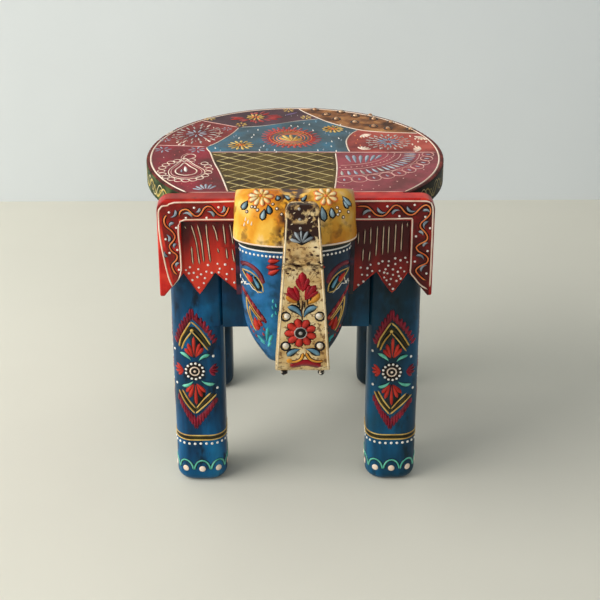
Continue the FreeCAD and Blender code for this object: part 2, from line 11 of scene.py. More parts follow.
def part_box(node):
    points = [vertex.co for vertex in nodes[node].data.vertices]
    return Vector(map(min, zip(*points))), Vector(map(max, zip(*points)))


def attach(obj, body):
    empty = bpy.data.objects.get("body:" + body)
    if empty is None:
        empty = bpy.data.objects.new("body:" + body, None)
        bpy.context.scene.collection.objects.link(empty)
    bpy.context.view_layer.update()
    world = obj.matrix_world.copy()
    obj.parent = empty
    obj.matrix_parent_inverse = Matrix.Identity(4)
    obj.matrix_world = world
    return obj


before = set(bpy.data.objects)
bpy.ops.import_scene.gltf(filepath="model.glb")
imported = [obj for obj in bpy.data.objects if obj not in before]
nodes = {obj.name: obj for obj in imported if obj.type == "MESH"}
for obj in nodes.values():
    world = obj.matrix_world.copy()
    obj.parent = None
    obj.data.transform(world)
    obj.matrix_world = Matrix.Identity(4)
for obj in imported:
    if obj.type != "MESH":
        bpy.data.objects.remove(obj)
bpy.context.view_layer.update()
random.seed(11)

# Drawings are in millimetres and the scene is in metres
MM = 0.001

seat_low, seat_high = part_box("seat_top")
seat_radius = (seat_high.x - seat_low.x) / 2
seat_middle = seat_high.y - seat_radius
seat_height = seat_high.z
cloth_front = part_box("front_valance")[0].y
cloth_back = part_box("back_valance")[1].y
cloth_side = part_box("right_flap")[1].x
cloth_top = seat_low.z
cap_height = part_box("ear_left")[1].z


# Paints and finishes

def colour(red, green, blue):
    """A colour as a screen shows it, from 0 to 255, as the shader wants it."""
    def linear(value):
        share = value / 255
        return share / 12.92 if share <= 0.04045 else ((share + 0.055) / 1.055) ** 2.4
    return (linear(red), linear(green), linear(blue), 1)


class Value:
    """A number or colour that a material works out at each point, ready for sums."""

    def __init__(self, finish, socket):
        self.finish = finish
        self.socket = socket

    def __add__(self, other):
        return self.finish.math("ADD", self, other)

    def __sub__(self, other):
        return self.finish.math("SUBTRACT", self, other)

    def __rsub__(self, other):
        return self.finish.math("SUBTRACT", other, self)

    def __mul__(self, other):
        return self.finish.math("MULTIPLY", self, other)

    def __abs__(self):
        return self.finish.math("ABSOLUTE", self)

    def rise(self, low, high):
        """How far it has come from low to high, from 0 to 1."""
        node = self.finish.node("MapRange")
        self.finish.join(low, node.inputs["From Min"])
        self.finish.join(high, node.inputs["From Max"])
        self.finish.join(self, node.inputs["Value"])
        return Value(self.finish, node.outputs["Result"])


def greater(first, second):
    return first.finish.math("MAXIMUM", first, second)


def lesser(first, second):
    return first.finish.math("MINIMUM", first, second)


class Finish:
    """A material with its shader, and the nodes that its patterns are made of."""

    def __init__(self, name, roughness, gloss=0.25, metallic=0.0):
        self.material = bpy.data.materials.new(name)
        self.material.use_nodes = True
        self.tree = self.material.node_tree
        self.shader = self.tree.nodes["Principled BSDF"]
        self.shader.inputs["Roughness"].default_value = roughness
        self.shader.inputs["Specular IOR Level"].default_value = gloss
        self.shader.inputs["Metallic"].default_value = metallic
        self.place = Value(self, self.node("TexCoord").outputs["Object"])
        split = self.node("SeparateXYZ")
        self.join(self.place, split.inputs[0])
        self.x, self.y, self.z = (Value(self, socket) for socket in split.outputs)

    def node(self, kind):
        return self.tree.nodes.new("ShaderNode" + kind)

    def join(self, value, socket):
        """Feeds a socket with a worked-out value, a colour from 0 to 255, or a plain number."""
        if isinstance(value, Value):
            self.tree.links.new(value.socket, socket)
        else:
            socket.default_value = colour(*value) if isinstance(value, tuple) else value

    def math(self, operation, *values):
        node = self.node("Math")
        node.operation = operation
        for value, socket in zip(values, node.inputs):
            self.join(value, socket)
        return Value(self, node.outputs[0])

    def noise(self, scale, detail=3.0, stretch=(1, 1, 1), shift=0.0):
        """Cloudy values from 0 to 1; scale is in patches per metre."""
        mapping = self.node("Mapping")
        mapping.inputs["Scale"].default_value = stretch
        mapping.inputs["Location"].default_value = (shift, shift, shift)
        self.join(self.place, mapping.inputs["Vector"])
        node = self.node("TexNoise")
        node.inputs["Scale"].default_value = scale
        node.inputs["Detail"].default_value = detail
        self.tree.links.new(mapping.outputs[0], node.inputs["Vector"])
        return Value(self, node.outputs["Fac"])

    def cracks(self, scale, width):
        """1 on the lines between cells, 0 inside them."""
        node = self.node("TexVoronoi")
        node.feature = "DISTANCE_TO_EDGE"
        node.inputs["Scale"].default_value = scale
        self.join(self.place, node.inputs["Vector"])
        return Value(self, node.outputs["Distance"]).rise(width, 0.0)

    def mix(self, share, first, second):
        """The first colour, with a share of the second laid over it."""
        node = self.node("Mix")
        node.data_type = "RGBA"
        sockets = {socket.identifier: socket for socket in (*node.inputs, *node.outputs)}
        for value, name in ((share, "Factor_Float"), (first, "A_Color"), (second, "B_Color")):
            self.join(value, sockets[name])
        return Value(self, sockets["Result_Color"])

    def ramp(self, value, *stops):
        """Colours by value; each stop is its place, red, green and blue."""
        node = self.node("ValToRGB")
        band = node.color_ramp
        while len(band.elements) < len(stops):
            band.elements.new(0.5)
        for element, (position, *tint) in zip(band.elements, stops):
            element.position = position
            element.color = colour(*tint)
        self.join(value, node.inputs[0])
        return Value(self, node.outputs["Color"])

    def show(self, tint, bump=None, strength=0.2):
        """Makes the material, with this colour and fine relief."""
        self.join(tint, self.shader.inputs["Base Color"])
        if bump is not None:
            node = self.node("Bump")
            node.inputs["Strength"].default_value = strength
            node.inputs["Distance"].default_value = 0.4 * MM
            self.join(bump, node.inputs["Height"])
            self.tree.links.new(node.outputs[0], self.shader.inputs["Normal"])
        return self.material


def stroke_paint(name, light, dark):
    """Thick brushed paint that varies a little between two shades."""
    finish = Finish(name, 0.38)
    cloud = finish.noise(90, 4).rise(0.35, 0.65)
    return finish.show(finish.mix(cloud, dark, light), finish.noise(810, 2), 0.25)


def field_paint(name, light, middle, dark, wear=(60, 40, 30), scale=38.0):
    """A painted field, clouded in three shades, rubbed through in small spots."""
    finish = Finish(name, 0.45, gloss=0.12)
    tint = finish.ramp(finish.noise(scale, 5), (0.32, *dark), (0.5, *middle), (0.68, *light))
    spots = finish.noise(scale * 7, 4, shift=0.3).rise(0.62, 0.72)
    return finish.show(finish.mix(spots * 0.6, tint, wear), finish.noise(scale * 12, 3), 0.22)


CREAM = stroke_paint("cream_line", (252, 234, 214), (236, 206, 178))
PINK_CREAM = stroke_paint("pink_cream_line", (228, 184, 172), (200, 142, 130))
WHITE = stroke_paint("white_dot", (255, 252, 244), (236, 230, 216))
YELLOW = stroke_paint("yellow_line", (232, 198, 110), (196, 150, 66))
GOLD = stroke_paint("golden_petal", (226, 158, 52), (184, 112, 34))
OLIVE = stroke_paint("olive_stroke", (104, 88, 32), (74, 60, 18))
LATTICE = stroke_paint("lattice_line", (226, 206, 144), (176, 152, 92))
ORANGE = stroke_paint("orange_line", (250, 146, 76), (222, 104, 52))
SCARLET = stroke_paint("scarlet_edge", (232, 74, 52), (196, 40, 32))
RED = stroke_paint("red_petal", (206, 58, 42), (168, 34, 26))
CRIMSON = stroke_paint("crimson_petal", (168, 14, 30), (120, 6, 20))
DUSTY_RED = stroke_paint("dusty_red_stroke", (188, 78, 70), (150, 50, 50))
RASPBERRY = stroke_paint("raspberry_dash", (152, 30, 52), (104, 16, 34))
DARK_TEAL = stroke_paint("dark_teal_ground", (16, 44, 50), (8, 20, 26))
DARK_OLIVE = stroke_paint("dark_olive_stroke", (58, 54, 20), (26, 24, 12))
DARK_CRIMSON = stroke_paint("dark_crimson_dash", (128, 32, 46), (92, 16, 30))
PURPLE_RED = stroke_paint("purple_brow", (140, 58, 68), (92, 28, 44))
PALE_BLUE = stroke_paint("pale_blue_patch", (112, 170, 196), (66, 120, 150))
VIOLET = stroke_paint("violet_patch", (112, 82, 128), (88, 62, 104))
PALE_YELLOW = stroke_paint("pale_yellow_petal", (252, 236, 184), (226, 186, 110))
DROP = stroke_paint("grey_slate_drop", (156, 180, 186), (84, 116, 128))
IVORY = stroke_paint("ivory_edge", (246, 228, 190), (214, 184, 136))
BROWN = stroke_paint("brown_antique", (78, 42, 18), (50, 26, 12))
GREY_BLUE = stroke_paint("grey_blue_stroke", (172, 182, 190), (120, 134, 148))
PALE_GREY = stroke_paint("pale_grey_stroke", (196, 190, 178), (150, 144, 136))
SLATE = stroke_paint("slate_blue_leaf", (118, 158, 176), (72, 112, 134))
MINT = stroke_paint("mint_leaf", (126, 216, 186), (70, 168, 144))
TURQUOISE = stroke_paint("turquoise_spray", (92, 204, 206), (40, 150, 160))
BLACK = stroke_paint("black_outline", (34, 24, 20), (14, 10, 10))
FRINGE_LINE = stroke_paint("fringe_line", (250, 226, 192), (196, 160, 130))
SILVER = stroke_paint("silver_petal", (168, 176, 178), (116, 124, 128))

PURPLE_FIELD = field_paint("purple_field", (98, 64, 76), (82, 54, 60), (64, 44, 50))
RED_FIELD = field_paint("red_field", (150, 58, 52), (132, 48, 46), (98, 38, 38))
RIGHT_RED_FIELD = field_paint("right_red_field", (196, 92, 76), (174, 76, 64), (130, 54, 50))
MAROON_FIELD = field_paint("maroon_field", (158, 44, 58), (132, 42, 50), (100, 44, 44))
SLATE_FIELD = field_paint("slate_field", (66, 118, 140), (76, 98, 108), (62, 78, 82))
OLIVE_FIELD = field_paint("olive_field", (98, 78, 32), (80, 60, 22), (58, 42, 14))
COPPER_FIELD = field_paint("copper_field", (200, 140, 80), (144, 90, 48), (76, 44, 24), (60, 34, 20), 70.0)
RIGHT_MAROON_FIELD = field_paint("right_maroon_field", (172, 80, 88), (152, 72, 78), (118, 60, 60))


# Grounds: the sides of the wood that are painted

@functools.cache
def wood_tree(*names):
    """The surface of some nodes, to lay paint on."""
    points = []
    faces = []
    for name in names:
        mesh = nodes[name].data
        first = len(points)
        points += [vertex.co.copy() for vertex in mesh.vertices]
        faces += [[first + index for index in face.vertices] for face in mesh.polygons]
    return BVHTree.FromPolygons(points, faces)


# Where a ray starts and which way it goes, to lay a drawing's point on the wood

def from_front(u, v):
    return Vector((u * MM, -1, v * MM)), Vector((0, 1, 0))


def from_back(u, v):
    return Vector((u * MM, 1, v * MM)), Vector((0, -1, 0))


def from_right(u, v):
    return Vector((1, u * MM, v * MM)), Vector((-1, 0, 0))


def from_left(u, v):
    return Vector((-1, u * MM, v * MM)), Vector((1, 0, 0))


def from_above(u, v):
    return Vector((u * MM, v * MM + seat_middle, 1)), Vector((0, 0, -1))


def from_brow(u, v):
    """Down on the forehead: u is across it and v up its slope."""
    up = Vector((0, 0.438, 0.899))
    way = Vector((0, 0.899, -0.438))
    return Vector((u * MM, 0, 0)) + up * (v * MM) - way, way


HEAD_MIDDLE = -1
HEAD_ROUND = 50


def round_head(u, v):
    """Round the head from its middle line: u is along its skin and v is the height."""
    turn = u / HEAD_ROUND
    out = Vector((math.sin(turn), -math.cos(turn), 0))
    return Vector((HEAD_MIDDLE * MM, cloth_front - 12 * MM, v * MM)) + out, -out


LEG_HALF = 24.5
LEG_ROUND = 17.0


def round_leg(leg_x, leg_y):
    """Round a leg from the middle of its front: u is along its skin and v is the height."""
    flat = 2 * (LEG_HALF - LEG_ROUND)
    bend = LEG_ROUND * math.pi / 2

    def spot(u, v):
        side = math.floor((u + flat / 2) / (flat + bend))
        along = u + flat / 2 - side * (flat + bend)
        turn = side * math.pi / 2
        if along > flat:
            turn += (along - flat) / LEG_ROUND
            along = flat
        facing = side * math.pi / 2
        out = Vector((math.sin(turn), -math.cos(turn), 0))
        run = Vector((math.cos(facing), math.sin(facing), 0))
        ahead = Vector((math.sin(facing), -math.cos(facing), 0))
        core = run * (along - flat / 2) + ahead * (flat / 2)
        start = Vector((leg_x, leg_y, v * MM)) + core * MM + out * (2 * LEG_ROUND * MM)
        return start, -out
    return spot


def add(name, data):
    """Puts an object into the scene."""
    piece = bpy.data.objects.new(name, data)
    bpy.context.scene.collection.objects.link(piece)
    return piece


def add_mesh(name, shape, finishes):
    """Puts a shape into the scene, and uses it up."""
    data = bpy.data.meshes.new(name)
    shape.to_mesh(data)
    shape.free()
    for finish in finishes:
        data.materials.append(finish)
    return add(name, data)


class Painting:
    """Raised strokes of several paints on one side of the wood, made into one piece."""

    def __init__(self, names, spot):
        self.wood = wood_tree(*names)
        self.spot = spot
        self.mesh = bmesh.new()
        self.paints = []
        self.depth = 1.0
        self.move(0, 0)

    def move(self, u, v, flip=1):
        """Puts the drawing's origin somewhere else; flip stretches it sideways, and -1 turns it over."""
        self.origin = (u, v, flip)

    def lay(self, u, v, lift):
        """A place on the wood, lift millimetres off its skin, and the way out there."""
        start_u, start_v, flip = self.origin
        start, way = self.spot(start_u + flip * u, start_v + v)
        hit, out, _, _ = self.wood.ray_cast(start, way)
        if hit is None:
            hit, out, _, _ = self.wood.find_nearest(start + way * self.depth)
        else:
            self.depth = (hit - start).length
        if out.dot(way) > 0:
            out = -out
        return hit + out * (lift * MM), out

    def fill(self, vertices, paint, smooth=True):
        if paint not in self.paints:
            self.paints.append(paint)
        for face in {face for vertex in vertices for face in vertex.link_faces}:
            face.material_index = self.paints.index(paint)
            face.smooth = smooth

    def sweep(self, path, widths, paint, lift):
        """A raised stroke along a path, as wide as widths at its points."""
        last = len(path) - 1
        grid = bmesh.ops.create_grid(self.mesh, x_segments=last, y_segments=4, size=1)["verts"]
        self.fill(grid, paint)
        widest = max(widths)
        closed = (path[0] - path[last]).length < 0.01
        for vertex in grid:
            step = round((vertex.co.x + 1) / 2 * last)
            turn = vertex.co.y * math.pi
            if closed and step in (0, last):
                ahead = path[1] - path[last - 1]
            else:
                ahead = path[min(step + 1, last)] - path[max(step - 1, 0)]
            across = Vector((-ahead.y, ahead.x)).normalized()
            place = path[step] + across * (math.sin(turn) * widths[step] / 2)
            rise = math.cos(turn) * lift * math.sqrt(widths[step] / widest)
            vertex.co = self.lay(place.x, place.y, rise)[0]

    def line(self, points, width, paint, lift=0.45, spacing=2.0):
        """A smooth line through points, rounded off at both ends."""
        path = smooth_path(points, spacing)
        last = len(path) - 1
        ends = () if (path[0] - path[last]).length < 0.01 else (0, last)
        widths = [0 if step in ends else width for step in range(last + 1)]
        self.sweep(path, widths, paint, lift)

    def loop(self, points, width, paint, lift=0.45, spacing=2.0):
        """A line that closes on itself."""
        self.line(points + points[:1], width, paint, lift, spacing)

    def petal(self, start, end, width, paint, bend=0.0, lift=0.6, belly=0.65, steps=6):
        """A teardrop from a pointed start to a round end; bend is how far its middle swings out."""
        start = Vector(start)
        end = Vector(end)
        run = end - start
        swing = Vector((-run.y, run.x)).normalized() * bend if run.length else run
        path = []
        widths = []
        for step in range(steps + 1):
            share = step / steps
            path.append(start + run * share + swing * (4 * share * (1 - share)))
            if share < belly:
                widths.append(width * math.sin(share / belly * math.pi / 2) ** 1.1)
            else:
                widths.append(width * math.sqrt(max(0, 1 - ((share - belly) / (1 - belly)) ** 2)))
        self.sweep(path, widths, paint, lift)

    def dot(self, u, v, radius, paint, lift=0.7):
        centre, out = self.lay(u, v, 0)
        place = Matrix.LocRotScale(centre, out.to_track_quat("Z", "Y"), Vector((radius, radius, lift)) * MM)
        made = bmesh.ops.create_icosphere(self.mesh, subdivisions=2, radius=1, matrix=place)
        self.fill(made["verts"], paint)

    def field(self, outline, paint, lift=0.12):
        """A thin flat coat of paint inside an outline of points."""
        low = [self.mesh.verts.new(self.lay(u, v, -lift)[0]) for u, v in outline]
        out = self.lay(*outline[0], 0)[1]
        face = self.mesh.faces.new(low)
        made = bmesh.ops.extrude_face_region(self.mesh, geom=[face])["geom"]
        top = [part for part in made if isinstance(part, bmesh.types.BMVert)]
        bmesh.ops.translate(self.mesh, verts=top, vec=out * (2 * lift * MM))
        self.fill(low + top, paint, smooth=False)

    def spoke(self, u, v, turn, near, far, width, paint, lift=0.6):
        """A petal from one oval round a point to a wider one, at an angle in radians."""
        self.petal(on_oval(u, v, turn, *near), on_oval(u, v, turn, *far), width, paint, lift=lift)

    def flower(self, u, v, inner, outer, count, width, paint, start=0.0, lift=0.6):
        """A ring of petals round a point."""
        for index in range(count):
            turn = start + index * 2 * math.pi / count
            self.spoke(u, v, turn, (inner, inner), (outer, outer), width, paint, lift)

    def hang(self, name):
        """Makes the piece."""
        bmesh.ops.remove_doubles(self.mesh, verts=self.mesh.verts, dist=0.01 * MM)
        bmesh.ops.triangulate(self.mesh, faces=[face for face in self.mesh.faces if len(face.verts) > 4])
        bmesh.ops.recalc_face_normals(self.mesh, faces=self.mesh.faces)
        piece = add_mesh(name, self.mesh, self.paints)
        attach(piece, "root")
        return piece


def smooth_path(points, spacing):
    """Points a step apart on a smooth curve through the given ones."""
    knots = [Vector(place) for place in points]
    if len(knots) == 2:
        count = max(2, round((knots[1] - knots[0]).length / spacing))
        return [knots[0].lerp(knots[1], step / count) for step in range(count + 1)]
    before = 2 * knots[0] - knots[1]
    after = 2 * knots[-1] - knots[-2]
    if (knots[0] - knots[-1]).length < 1e-6:
        before = knots[-2]
        after = knots[1]
    rail = [before] + knots + [after]
    path = [knots[0]]
    for index in range(1, len(rail) - 2):
        first, second, third, fourth = rail[index - 1:index + 3]
        count = max(1, round((third - second).length / spacing))
        for step in range(1, count + 1):
            t = step / count
            path.append(0.5 * (
                2 * second + (third - first) * t
                + (2 * first - 5 * second + 4 * third - fourth) * t ** 2
                + (3 * second - first - 3 * third + fourth) * t ** 3
            ))
    return path


def on_oval(u, v, turn, across, up):
    return (u + across * math.cos(turn), v + up * math.sin(turn))


def arc(u, v, across, up, start, end, count=12):
    """Points on part of an oval, between two angles in degrees."""
    return [on_oval(u, v, math.radians(start + (end - start) * step / count), across, up)
            for step in range(count + 1)]


def sway(size):
    """A small unsteadiness of the hand."""
    return random.uniform(-size, size)


def turns(count, first=0.0, gap=None, wobble=0.0):
    """Numbers and angles of strokes round a point, gap degrees apart, or else all round it."""
    for index in range(count):
        turn = math.radians(first + index * (gap or 360 / count))
        yield index, turn + (sway(wobble) if wobble else 0)


# The seat's eight painted fields, whose border is round with a straight cut in front

BORDER = 138.0
SEAT_CUT = -97.0


def border_arc(start, end, count):
    return arc(0, 0, BORDER, BORDER, start, end, count)


def inside(place, margin):
    """Whether a place on the seat is at least so far inside the border."""
    return math.hypot(*place) < BORDER - margin


def bearing(place):
    return math.degrees(math.atan2(place[1], place[0]))


LEFT_KNOT = (-86, 22)
BACK_KNOT = (-56, 79)
COPPER_KNOT = (26, 105)
RIGHT_KNOT = (64, 71)
lattice_left = [(-82, 7), (-77, -20), (-71, -45), (-66, -70), (-61, SEAT_CUT)]
lattice_right = [(39, 5), (39.5, -30), (38, -60), (35, SEAT_CUT)]
left_curve = [LEFT_KNOT, (-78, 32), (-70, 46), (-62, 62), BACK_KNOT]
left_bar = [(-135.4, 27), (-110, 25), LEFT_KNOT]
back_left = [(-95, 100), (-80, 92), BACK_KNOT]
back_right = [BACK_KNOT, (-30, 84), (0, 97), COPPER_KNOT]
copper_edge = [(4, 138), (12, 124), COPPER_KNOT, (38, 91), RIGHT_KNOT, (85, 64), (110, 61), (124.5, 59.6)]
right_end = [RIGHT_KNOT, (56, 58), (51, 40), (51, 22), (53, 6)]
cross_bar = [(-82, 7), (0, 7), (60, 5.5), (138, 5)]
front_left = (-math.sqrt(BORDER ** 2 - SEAT_CUT ** 2), SEAT_CUT)
front_right = (math.sqrt(BORDER ** 2 - SEAT_CUT ** 2), SEAT_CUT)
# The bearings at which the dividing lines meet the border
RIGHT_RED_START, COPPER_START, COPPER_END = 2.1, 25.6, 88.4
PURPLE_START, PURPLE_END, RED_END = 90, 133.5, 168.7


def seat_fields():
    seat = Painting(["seat_top"], from_above)
    seat.field(back_left + back_right[1:] + copper_edge[1::-1]
               + border_arc(PURPLE_START, PURPLE_END, 10), PURPLE_FIELD)
    seat.field(left_bar[:2] + left_curve + back_left[-2::-1] + border_arc(PURPLE_END, RED_END, 8), RED_FIELD)
    seat.field(left_bar + [(-85, 15)] + lattice_left
               + border_arc(bearing(front_left) + 360, RED_END, 16)[:-1], MAROON_FIELD)
    seat.field(left_curve + back_right[1:] + copper_edge[3:5] + right_end[1:] + [(-82, 7)], SLATE_FIELD)
    seat.field(lattice_left + lattice_right[::-1], OLIVE_FIELD)
    seat.field(lattice_right + [front_right] + border_arc(bearing(front_right), 2, 14), RIGHT_MAROON_FIELD)
    seat.field(right_end[::-1] + copper_edge[5:] + border_arc(COPPER_START, RIGHT_RED_START, 8)[1:],
               RIGHT_RED_FIELD)
    seat.field(copper_edge + border_arc(COPPER_START, COPPER_END, 16)[1:-1], COPPER_FIELD)
    return seat.hang("seat_fields")


def seat_lines():
    seat = Painting(["seat_top"], from_above)
    seat.line(border_arc(bearing(front_right), bearing(front_left) + 360, 90), 1.9, CREAM, 0.6, 4)
    seat.line([front_left, (0, SEAT_CUT), front_right], 1.3, PINK_CREAM, 0.5, 5)
    for points, width, paint in (
        ([LEFT_KNOT, (-85, 15)] + lattice_left, 1.9, CREAM),
        (lattice_right, 1.7, CREAM),
        (left_curve, 1.6, CREAM),
        (left_bar, 1.6, PINK_CREAM),
        (back_left, 1.7, PINK_CREAM),
        (back_right, 1.7, PALE_GREY),
        (copper_edge, 1.7, CREAM),
        (right_end, 1.7, CREAM),
        (cross_bar, 1.8, PINK_CREAM),
    ):
        seat.line(points, width, paint, 0.6, 4)
    lattice(seat)
    return seat.hang("seat_dividers")


def lattice(seat):
    """Crossed lines between the two sides of the front field."""
    slope = 0.66
    pitch = 24.0
    low = SEAT_CUT + 1
    high = 5.5

    def left_side(v):
        return -82 + (7 - v) * 21 / 104 + 1

    def right_side(v):
        return 39.5 - max(0, (-v - 40)) * 0.07 - 1

    def clipped(start, run):
        """The points of one line, a step apart, that lie between the sides."""
        points = []
        for step in range(240):
            u = start + step * run
            v = high - step * slope
            if v < low:
                break
            if left_side(v) < u < right_side(v):
                points.append((u, v))
        return points

    for run, width, paint, lift, spacing in (
        (1, 5.6, OLIVE, 0.2, 4), (-1, 5.6, OLIVE, 0.2, 4),
        (-1, 1.5, LATTICE, 0.4, 3), (1, 1.5, LATTICE, 0.5, 3),
    ):
        for index in range(-8, 12):
            points = clipped((-85 if run == 1 else -65) + index * pitch, run)
            if len(points) > 4:
                seat.line([points[0], points[len(points) // 2], points[-1]], width, paint, lift, spacing)


def purple_spray(seat):
    seat.petal((-15, 112), (6, 128), 17, VIOLET, lift=0.15, belly=0.5)
    for index, turn in turns(26, wobble=0.08):
        reach = 1 + 0.25 * math.cos(2 * turn)
        near = on_oval(-40, 111, turn, 8.5 * reach, 8)
        far = on_oval(-40, 111, turn, (23 + sway(4)) * reach, 17.5 + sway(3))
        if inside(far, 4):
            seat.petal(near, far, 4.2, DUSTY_RED if index % 3 else RED, lift=0.45)
    seat.flower(-40, 111, 2, 10, 10, 3.0, YELLOW, 0.2)
    seat.flower(-40, 111, 1, 5, 6, 1.8, ORANGE, 0.5, lift=0.8)
    for u, v in ((-87, 107), (-54, 88), (12, 110), (-6, 133)):
        seat.flower(u, v, 1, 6.5, 7, 2.6, YELLOW, sway(0.4), lift=0.45)
    for index in range(20):
        u = -112 + index * 6.4
        v = 93 + 32 * math.sin((u + 120) / 150 * math.pi) + sway(4)
        if abs(u + 40) > 28 and inside((u, v), 6):
            seat.petal((u, v), (u + sway(2), v + 3.5), 1.3, PALE_GREY, lift=0.3)


def grey_burst(seat, u, v, size, inner_paint, outer_paint):
    """A round burst of pale strokes."""
    seat.flower(u, v, 2, size * 0.42, 9, 2.6, inner_paint, sway(0.3))
    seat.flower(u, v, size * 0.46, size * 0.78, 16, 2.4, outer_paint, sway(0.3))
    for _, turn in turns(24, wobble=0.1):
        reach = size * (0.92 + sway(0.06))
        seat.dot(*on_oval(u, v, turn, reach, reach * 0.95), 0.8, PALE_GREY, 0.45)


def small_sprig(seat, u, v, size, paint):
    seat.flower(u, v, 1, size, 7, size * 0.34, paint, sway(0.5), lift=0.4)


def left_upper_motifs(seat):
    grey_burst(seat, -98, 61, 27, GREY_BLUE, PALE_GREY)
    for index, turn in turns(18, wobble=0.1):
        if inside(on_oval(-98, 61, turn, 27, 31), 5):
            seat.spoke(-98, 61, turn, (18, 20), (27, 31), 2.6, PALE_GREY if index % 3 else CREAM, 0.5)
    for u, v in ((-122, 70), (-125, 64), (-112, 34), (-114, 40), (-108, 32)):
        seat.petal((u, v), (u + 0.14 * (u + 98), v - 7), 3.0, CREAM, lift=0.5)
    small_sprig(seat, -68, 75, 6, GREY_BLUE)
    small_sprig(seat, -128, 43, 6.5, GREY_BLUE)
    small_sprig(seat, -106, 90, 5, PALE_GREY)
    for u, v in ((-76, 55), (-78, 48), (-88, 40), (-112, 33), (-120, 55), (-120, 66), (-82, 76), (-74, 66)):
        seat.petal((u, v), (u + sway(2), v + 4), 1.4, CREAM, lift=0.4)


def paisley(seat):
    centre = Vector((-103, -40))
    drop = [(-105, -20), (-98, -31), (-91, -42), (-93, -52),
            (-102, -56), (-111, -51), (-113, -41), (-109, -30)]
    for grow, width, paint in ((0.9, 1.9, CREAM), (1.3, 1.2, PINK_CREAM), (1.52, 1.4, CREAM)):
        ring = [tuple(centre + (Vector(place) - centre) * grow) for place in drop]
        seat.loop(ring, width, paint, 0.5)
    seat.petal((-104, -30), (-102, -46), 4.2, WHITE)
    seat.petal((-107, -38), (-106, -47), 2.2, GREY_BLUE)
    for _, turn in turns(22):
        seat.spoke(centre.x, centre.y - 2, turn, (17, 22), (18.6, 24.8), 1.3, GREY_BLUE, 0.35)
    for _, turn in turns(19, 78, 340 / 19):
        u, v = on_oval(centre.x, centre.y - 1, turn, 22.4, 27)
        seat.loop(arc(u, v, 3.4, 3.7, 0, 324, 9), 1.25, CREAM, 0.45, 1.5)
    seat.line([(-106, -14), (-106, -4), (-101, 2), (-96, -1), (-96, -8), (-100, -9)], 1.5, CREAM)
    seat.line([(-109, -11), (-108, -2), (-102, 5)], 1.2, PINK_CREAM)


def left_lower_motifs(seat):
    paisley(seat)
    small_sprig(seat, -128, 15, 9, GREY_BLUE)
    small_sprig(seat, -95, 14, 9, GREY_BLUE)
    for _, turn in turns(6, 50, 22):
        seat.spoke(-81, -93, turn, (3, 3), (14, 17), 3.4, GREY_BLUE)
    for u, v in ((-108, 14), (-112, 10), (-104, 6), (-126, -5), (-82, -30), (-84, -38), (-78, -62),
                 (-76, -72), (-86, -76), (-94, -74), (-98, -80), (-104, -74), (-128, -20), (-116, 2)):
        seat.petal((u, v), (u + sway(1.5), v - 3.6), 2.0, PINK_CREAM if (u + v) % 2 else DUSTY_RED, lift=0.4)


def mandala(seat):
    """The big oval flower of the middle field."""
    u, v = -3, 46
    for _, turn in turns(30):
        tall = 1.16 if math.sin(turn) > 0 else 0.92
        lean = 5 * max(0, math.sin(turn))
        for near, far, aside, width, paint, lift in (
            (19, 31, 0, 4.6, DUSTY_RED, 0.4), (15, 25, 0.1, 3.8, RED, 0.55),
        ):
            seat.spoke(u - lean, v, turn + aside, (near, near * tall), (far, far * tall), width, paint, lift)
    for reach, paint in ((21, ORANGE), (17.4, GOLD), (14, ORANGE), (10.8, ORANGE)):
        seat.loop(arc(u - 1, v + 1, reach, reach, 0, 345, 23), 1.5, paint, 0.6, 3)
    for turn, reach, width in (
        (150, 15, 5), (120, 18, 5.4), (92, 17, 4.6), (60, 14, 4), (30, 14, 4), (5, 12, 3.4),
    ):
        tip = on_oval(u - 1, v - 5, math.radians(turn), reach, reach)
        seat.petal((u + 1, v - 9), tip, width, YELLOW, lift=0.75)
    seat.flower(u + 2, v - 3, 1, 6, 8, 1.8, GOLD, 0.2)


def centre_motifs(seat):
    mandala(seat)
    for u, v, size in ((-53, 27, 13.5), (38.5, 73.5, 11.5)):
        seat.flower(u, v, 3.5, size, 13, 3.8, YELLOW, 0.1)
        seat.flower(u, v, 3, 9, 9, 2.2, BROWN, 0.3, lift=0.7)
        seat.flower(u, v, 1, 6, 8, 2.6, GOLD, 0.3, lift=0.8)
        seat.dot(u, v, 1.8, ORANGE, 0.9)
    for u, v in ((-47, 68), (-37, 72), (-61, 52), (-58, 55), (-42, 50), (-55, 48), (-41, 57), (-33, 21),
                 (-30, 25), (-35, 13), (-20, 13), (-18, 8), (-78, 19), (-72, 12), (22, 12), (28, 14),
                 (31, 32), (36, 37), (35, 23), (43, 46), (46, 41), (34, 56), (31, 62), (10, 92),
                 (15, 88), (18, 70), (-4, 84), (3, 82), (51, 66), (55, 62), (47, 87), (40, 10)):
        seat.petal((u, v + 3), (u + sway(1.2), v - 3), 1.9, WHITE if (u + v) % 3 else GREY_BLUE, lift=0.45)
    for u, v, width in ((-27, 13, 7), (22, 96, 6)):
        seat.petal((u, v - 6), (u, v + 6), width, SLATE, lift=0.2)


